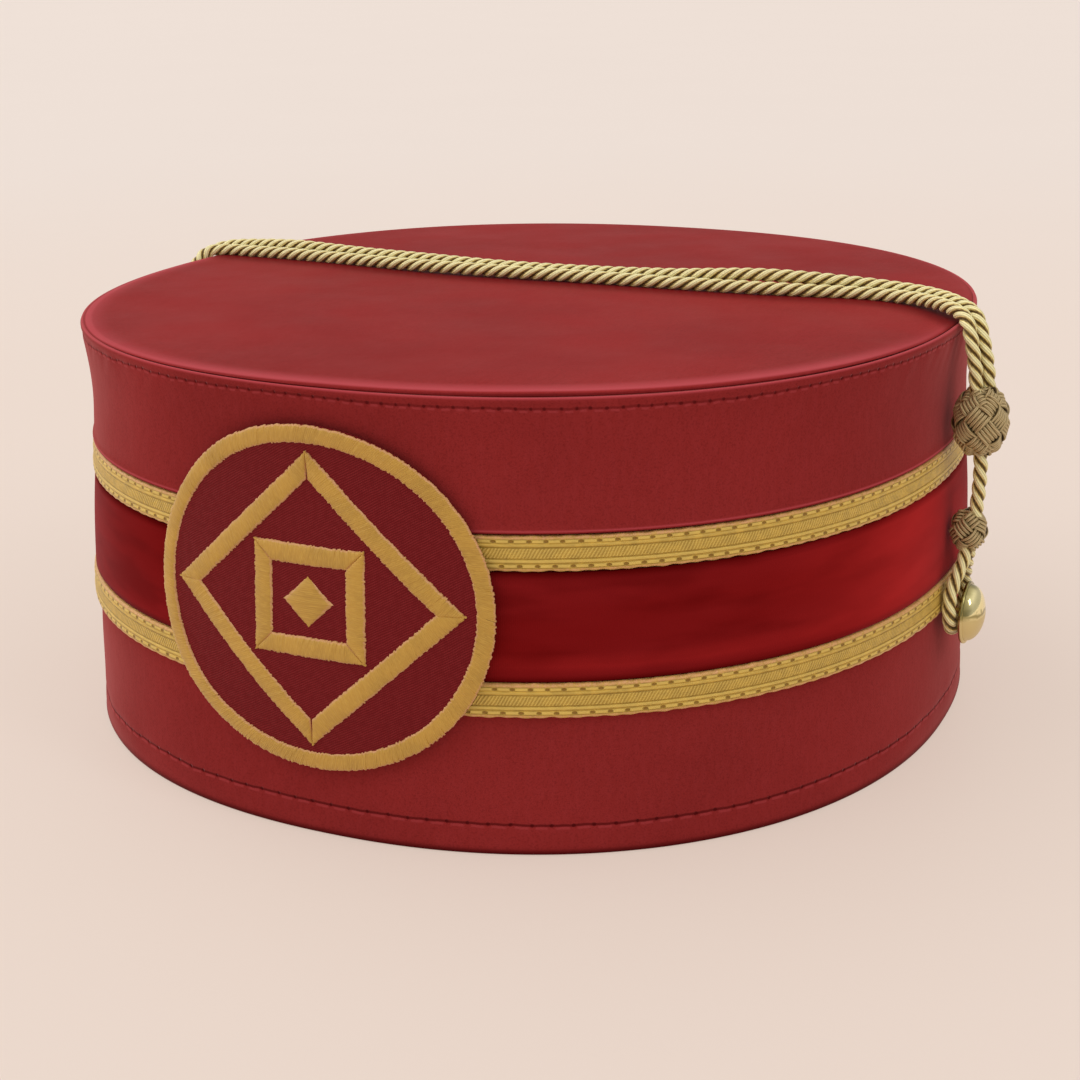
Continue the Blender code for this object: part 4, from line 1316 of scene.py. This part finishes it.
fieldPiece = {
    "count": 72,
    "inset": 0.0003,    # within the ring's outer edge
    "waves": 0.00008,
}


def makeField():
    field, u, v, _ = addStrip("badgeField", fieldPiece["count"], fieldPiece["count"])
    a, b = u * 2 - 1, v * 2 - 1
    x = a * np.sqrt(1 - b * b / 2) * (badge["halfWidth"] - fieldPiece["inset"])
    y = b * np.sqrt(1 - a * a / 2) * (badge["halfHeight"] - fieldPiece["inset"])
    waves = fieldPiece["waves"] * np.sin(x * 190 + 0.7) * np.sin(y * 160 + 0.2)
    shapeStrip(field, onBadge(x, y, badge["thickness"] + waves), (x, y), 0 * x, 0)
    solid = field.modifiers.new("thickness", "SOLIDIFY")
    solid.thickness = badge["thickness"]
    solid.offset = -1 if field.data.polygons[0].normal.y < 0 else 1
    bpy.ops.object.modifier_apply(modifier=solid.name)
    finishPiece(field, badgeTwill, ["badge_field"], 40)


diamondReach = badge["halfHeight"] - badge["bar"] - badge["gap"]
squareReach = diamondReach / math.sqrt(2) - badge["bar"] - badge["gap"]
makeField()
makeRing()
makeSquare("badgeDiamond", diamondReach, 0, "badge_diamond")
makeSquare("badgeSquare", squareReach, math.pi / 4, "badge_square")
makeLozenge(squareReach * 0.32)
print("badge stitched")

# the buttons
buttonShape = {
    "radius": 0.0065,
    "shankRadius": 0.0007,
    "shankLength": 0.0043,
    "rim": 0.0009,
    "rimRound": (0.0004, 0.00045),   # across and up
    "dome": 0.0032,
    "columns": 64,
}


def makeButton(name, sign, node):
    radius, shank, deep = (buttonShape[k] for k in ("radius", "shankRadius", "shankLength"))
    roundOut, roundUp = buttonShape["rimRound"]
    rimTop = deep + buttonShape["rim"]
    profile = [(0, 0), (shank * 1.5, 0), (shank * 1.1, 0.0006), (shank, 0.0014), (shank, deep - 0.0006),
               (shank * 1.5, deep - 0.0001), (radius - 0.0012, deep - 0.0001), (radius - roundOut, deep)]
    for turn in (-60, -30, 0, 30, 60, 90):
        part = math.radians(turn)
        profile.append((radius - roundOut + roundOut * math.cos(part), rimTop - roundUp + roundUp * math.sin(part)))
    profile.append((radius - 0.0006, rimTop - 0.0001))
    for turn in range(80, -1, -8):
        part = math.radians(turn)
        profile.append(((radius - 0.0007) * math.sin(part), rimTop + buttonShape["dome"] * math.cos(part)))
    strip, u, _, row = addStrip(name, buttonShape["columns"], len(profile) - 1)
    wide, out = np.array(profile)[row].T
    ahead, up = wide * np.cos(2 * math.pi * u), wide * np.sin(2 * math.pi * u)
    sewnAt = layers["sideLine"] - layers["buttonAhead"]
    face = sideFace(sewnAt, layers["button"], layers["back"])
    place = np.stack([sign * (face + out), sewnAt + ahead, layers["button"] + up], axis=1)
    shapeStrip(strip, place, (ahead, up), distance=0.000003)
    finishPiece(strip, polishedBrass, [node], 60)


makeButton("buttonRight", 1, "button_right")
makeButton("buttonLeft", -1, "button_left")
print("buttons on")

# floor, backdrop and light
studio = {
    "floorSize": 40,
    "floorColour": (0.27, 0.25, 0.24),
    "floorGlow": (0.53, 0.425, 0.360),   # keeps the paper pale where the cap shades it
    "farGlow": (0.535, 0.455, 0.405),
    "horizonColour": (0.49, 0.465, 0.44),
    "overheadColour": (0.86, 0.82, 0.78),
    "sunPlace": (-0.45, 0.35, 0.82),
    "sunFrom": (-0.80, -0.16, 0.56),
    "sunStrength": 1.20,
    "sunAngle": 85,
    "sunColour": (1.0, 0.96, 0.92),
    "windowPlace": (0.80, -0.30, 0.85),
    "windowSize": (0.28, 0.45),
    "windowPower": 1.6,
}


def addLight(name, kind, place, comesFrom, strength):
    clearSelection()
    bpy.ops.object.light_add(type=kind, location=place)
    light = bpy.context.object
    light.name = name
    light.rotation_euler = (-Vector(comesFrom)).to_track_quat("-Z", "Y").to_euler()
    light.data.energy = strength
    return light.data


def makeStudio():
    clearSelection()
    bpy.ops.mesh.primitive_plane_add(size=studio["floorSize"], location=(0, 0, 0))
    floor = bpy.context.object
    floor.name = "paleFloor"
    material, tree, shader = newMaterial("palePaper", {"Roughness": 0.6, "Specular IOR Level": 0.3,
                                                       "Emission Strength": 1.0})
    away = addNode(tree, "VectorMath", {0: objectNode(tree)}, operation="LENGTH").outputs["Value"]
    give(shader["Emission Color"], blend(studio["floorGlow"], studio["farGlow"], ramp(away, 0.25, 1.1)))
    give(shader["Base Color"], mottled(tree, studio["floorColour"], 6.0, 0.015))
    floor.data.materials.append(material)
    world = bpy.data.worlds.new("paleRoom")
    world.use_nodes = True
    height = splitVector(addNode(world.node_tree, "TexCoord", {}).outputs["Generated"])[2]
    sky = blend(studio["horizonColour"], studio["overheadColour"], ramp(height, 0.15, 0.75))
    give(world.node_tree.nodes["Background"].inputs["Color"], sky)
    bpy.context.scene.world = world
    sun = addLight("softWindow", "SUN", studio["sunPlace"], studio["sunFrom"], studio["sunStrength"])
    sun.angle = math.radians(studio["sunAngle"])
    sun.color = studio["sunColour"]
    window = addLight("rightWindow", "AREA", studio["windowPlace"], studio["windowPlace"], studio["windowPower"])
    window.shape = "RECTANGLE"
    window.size, window.size_y = studio["windowSize"]
    bpy.context.scene.view_settings.view_transform = "Standard"


makeStudio()
print("studio lit")
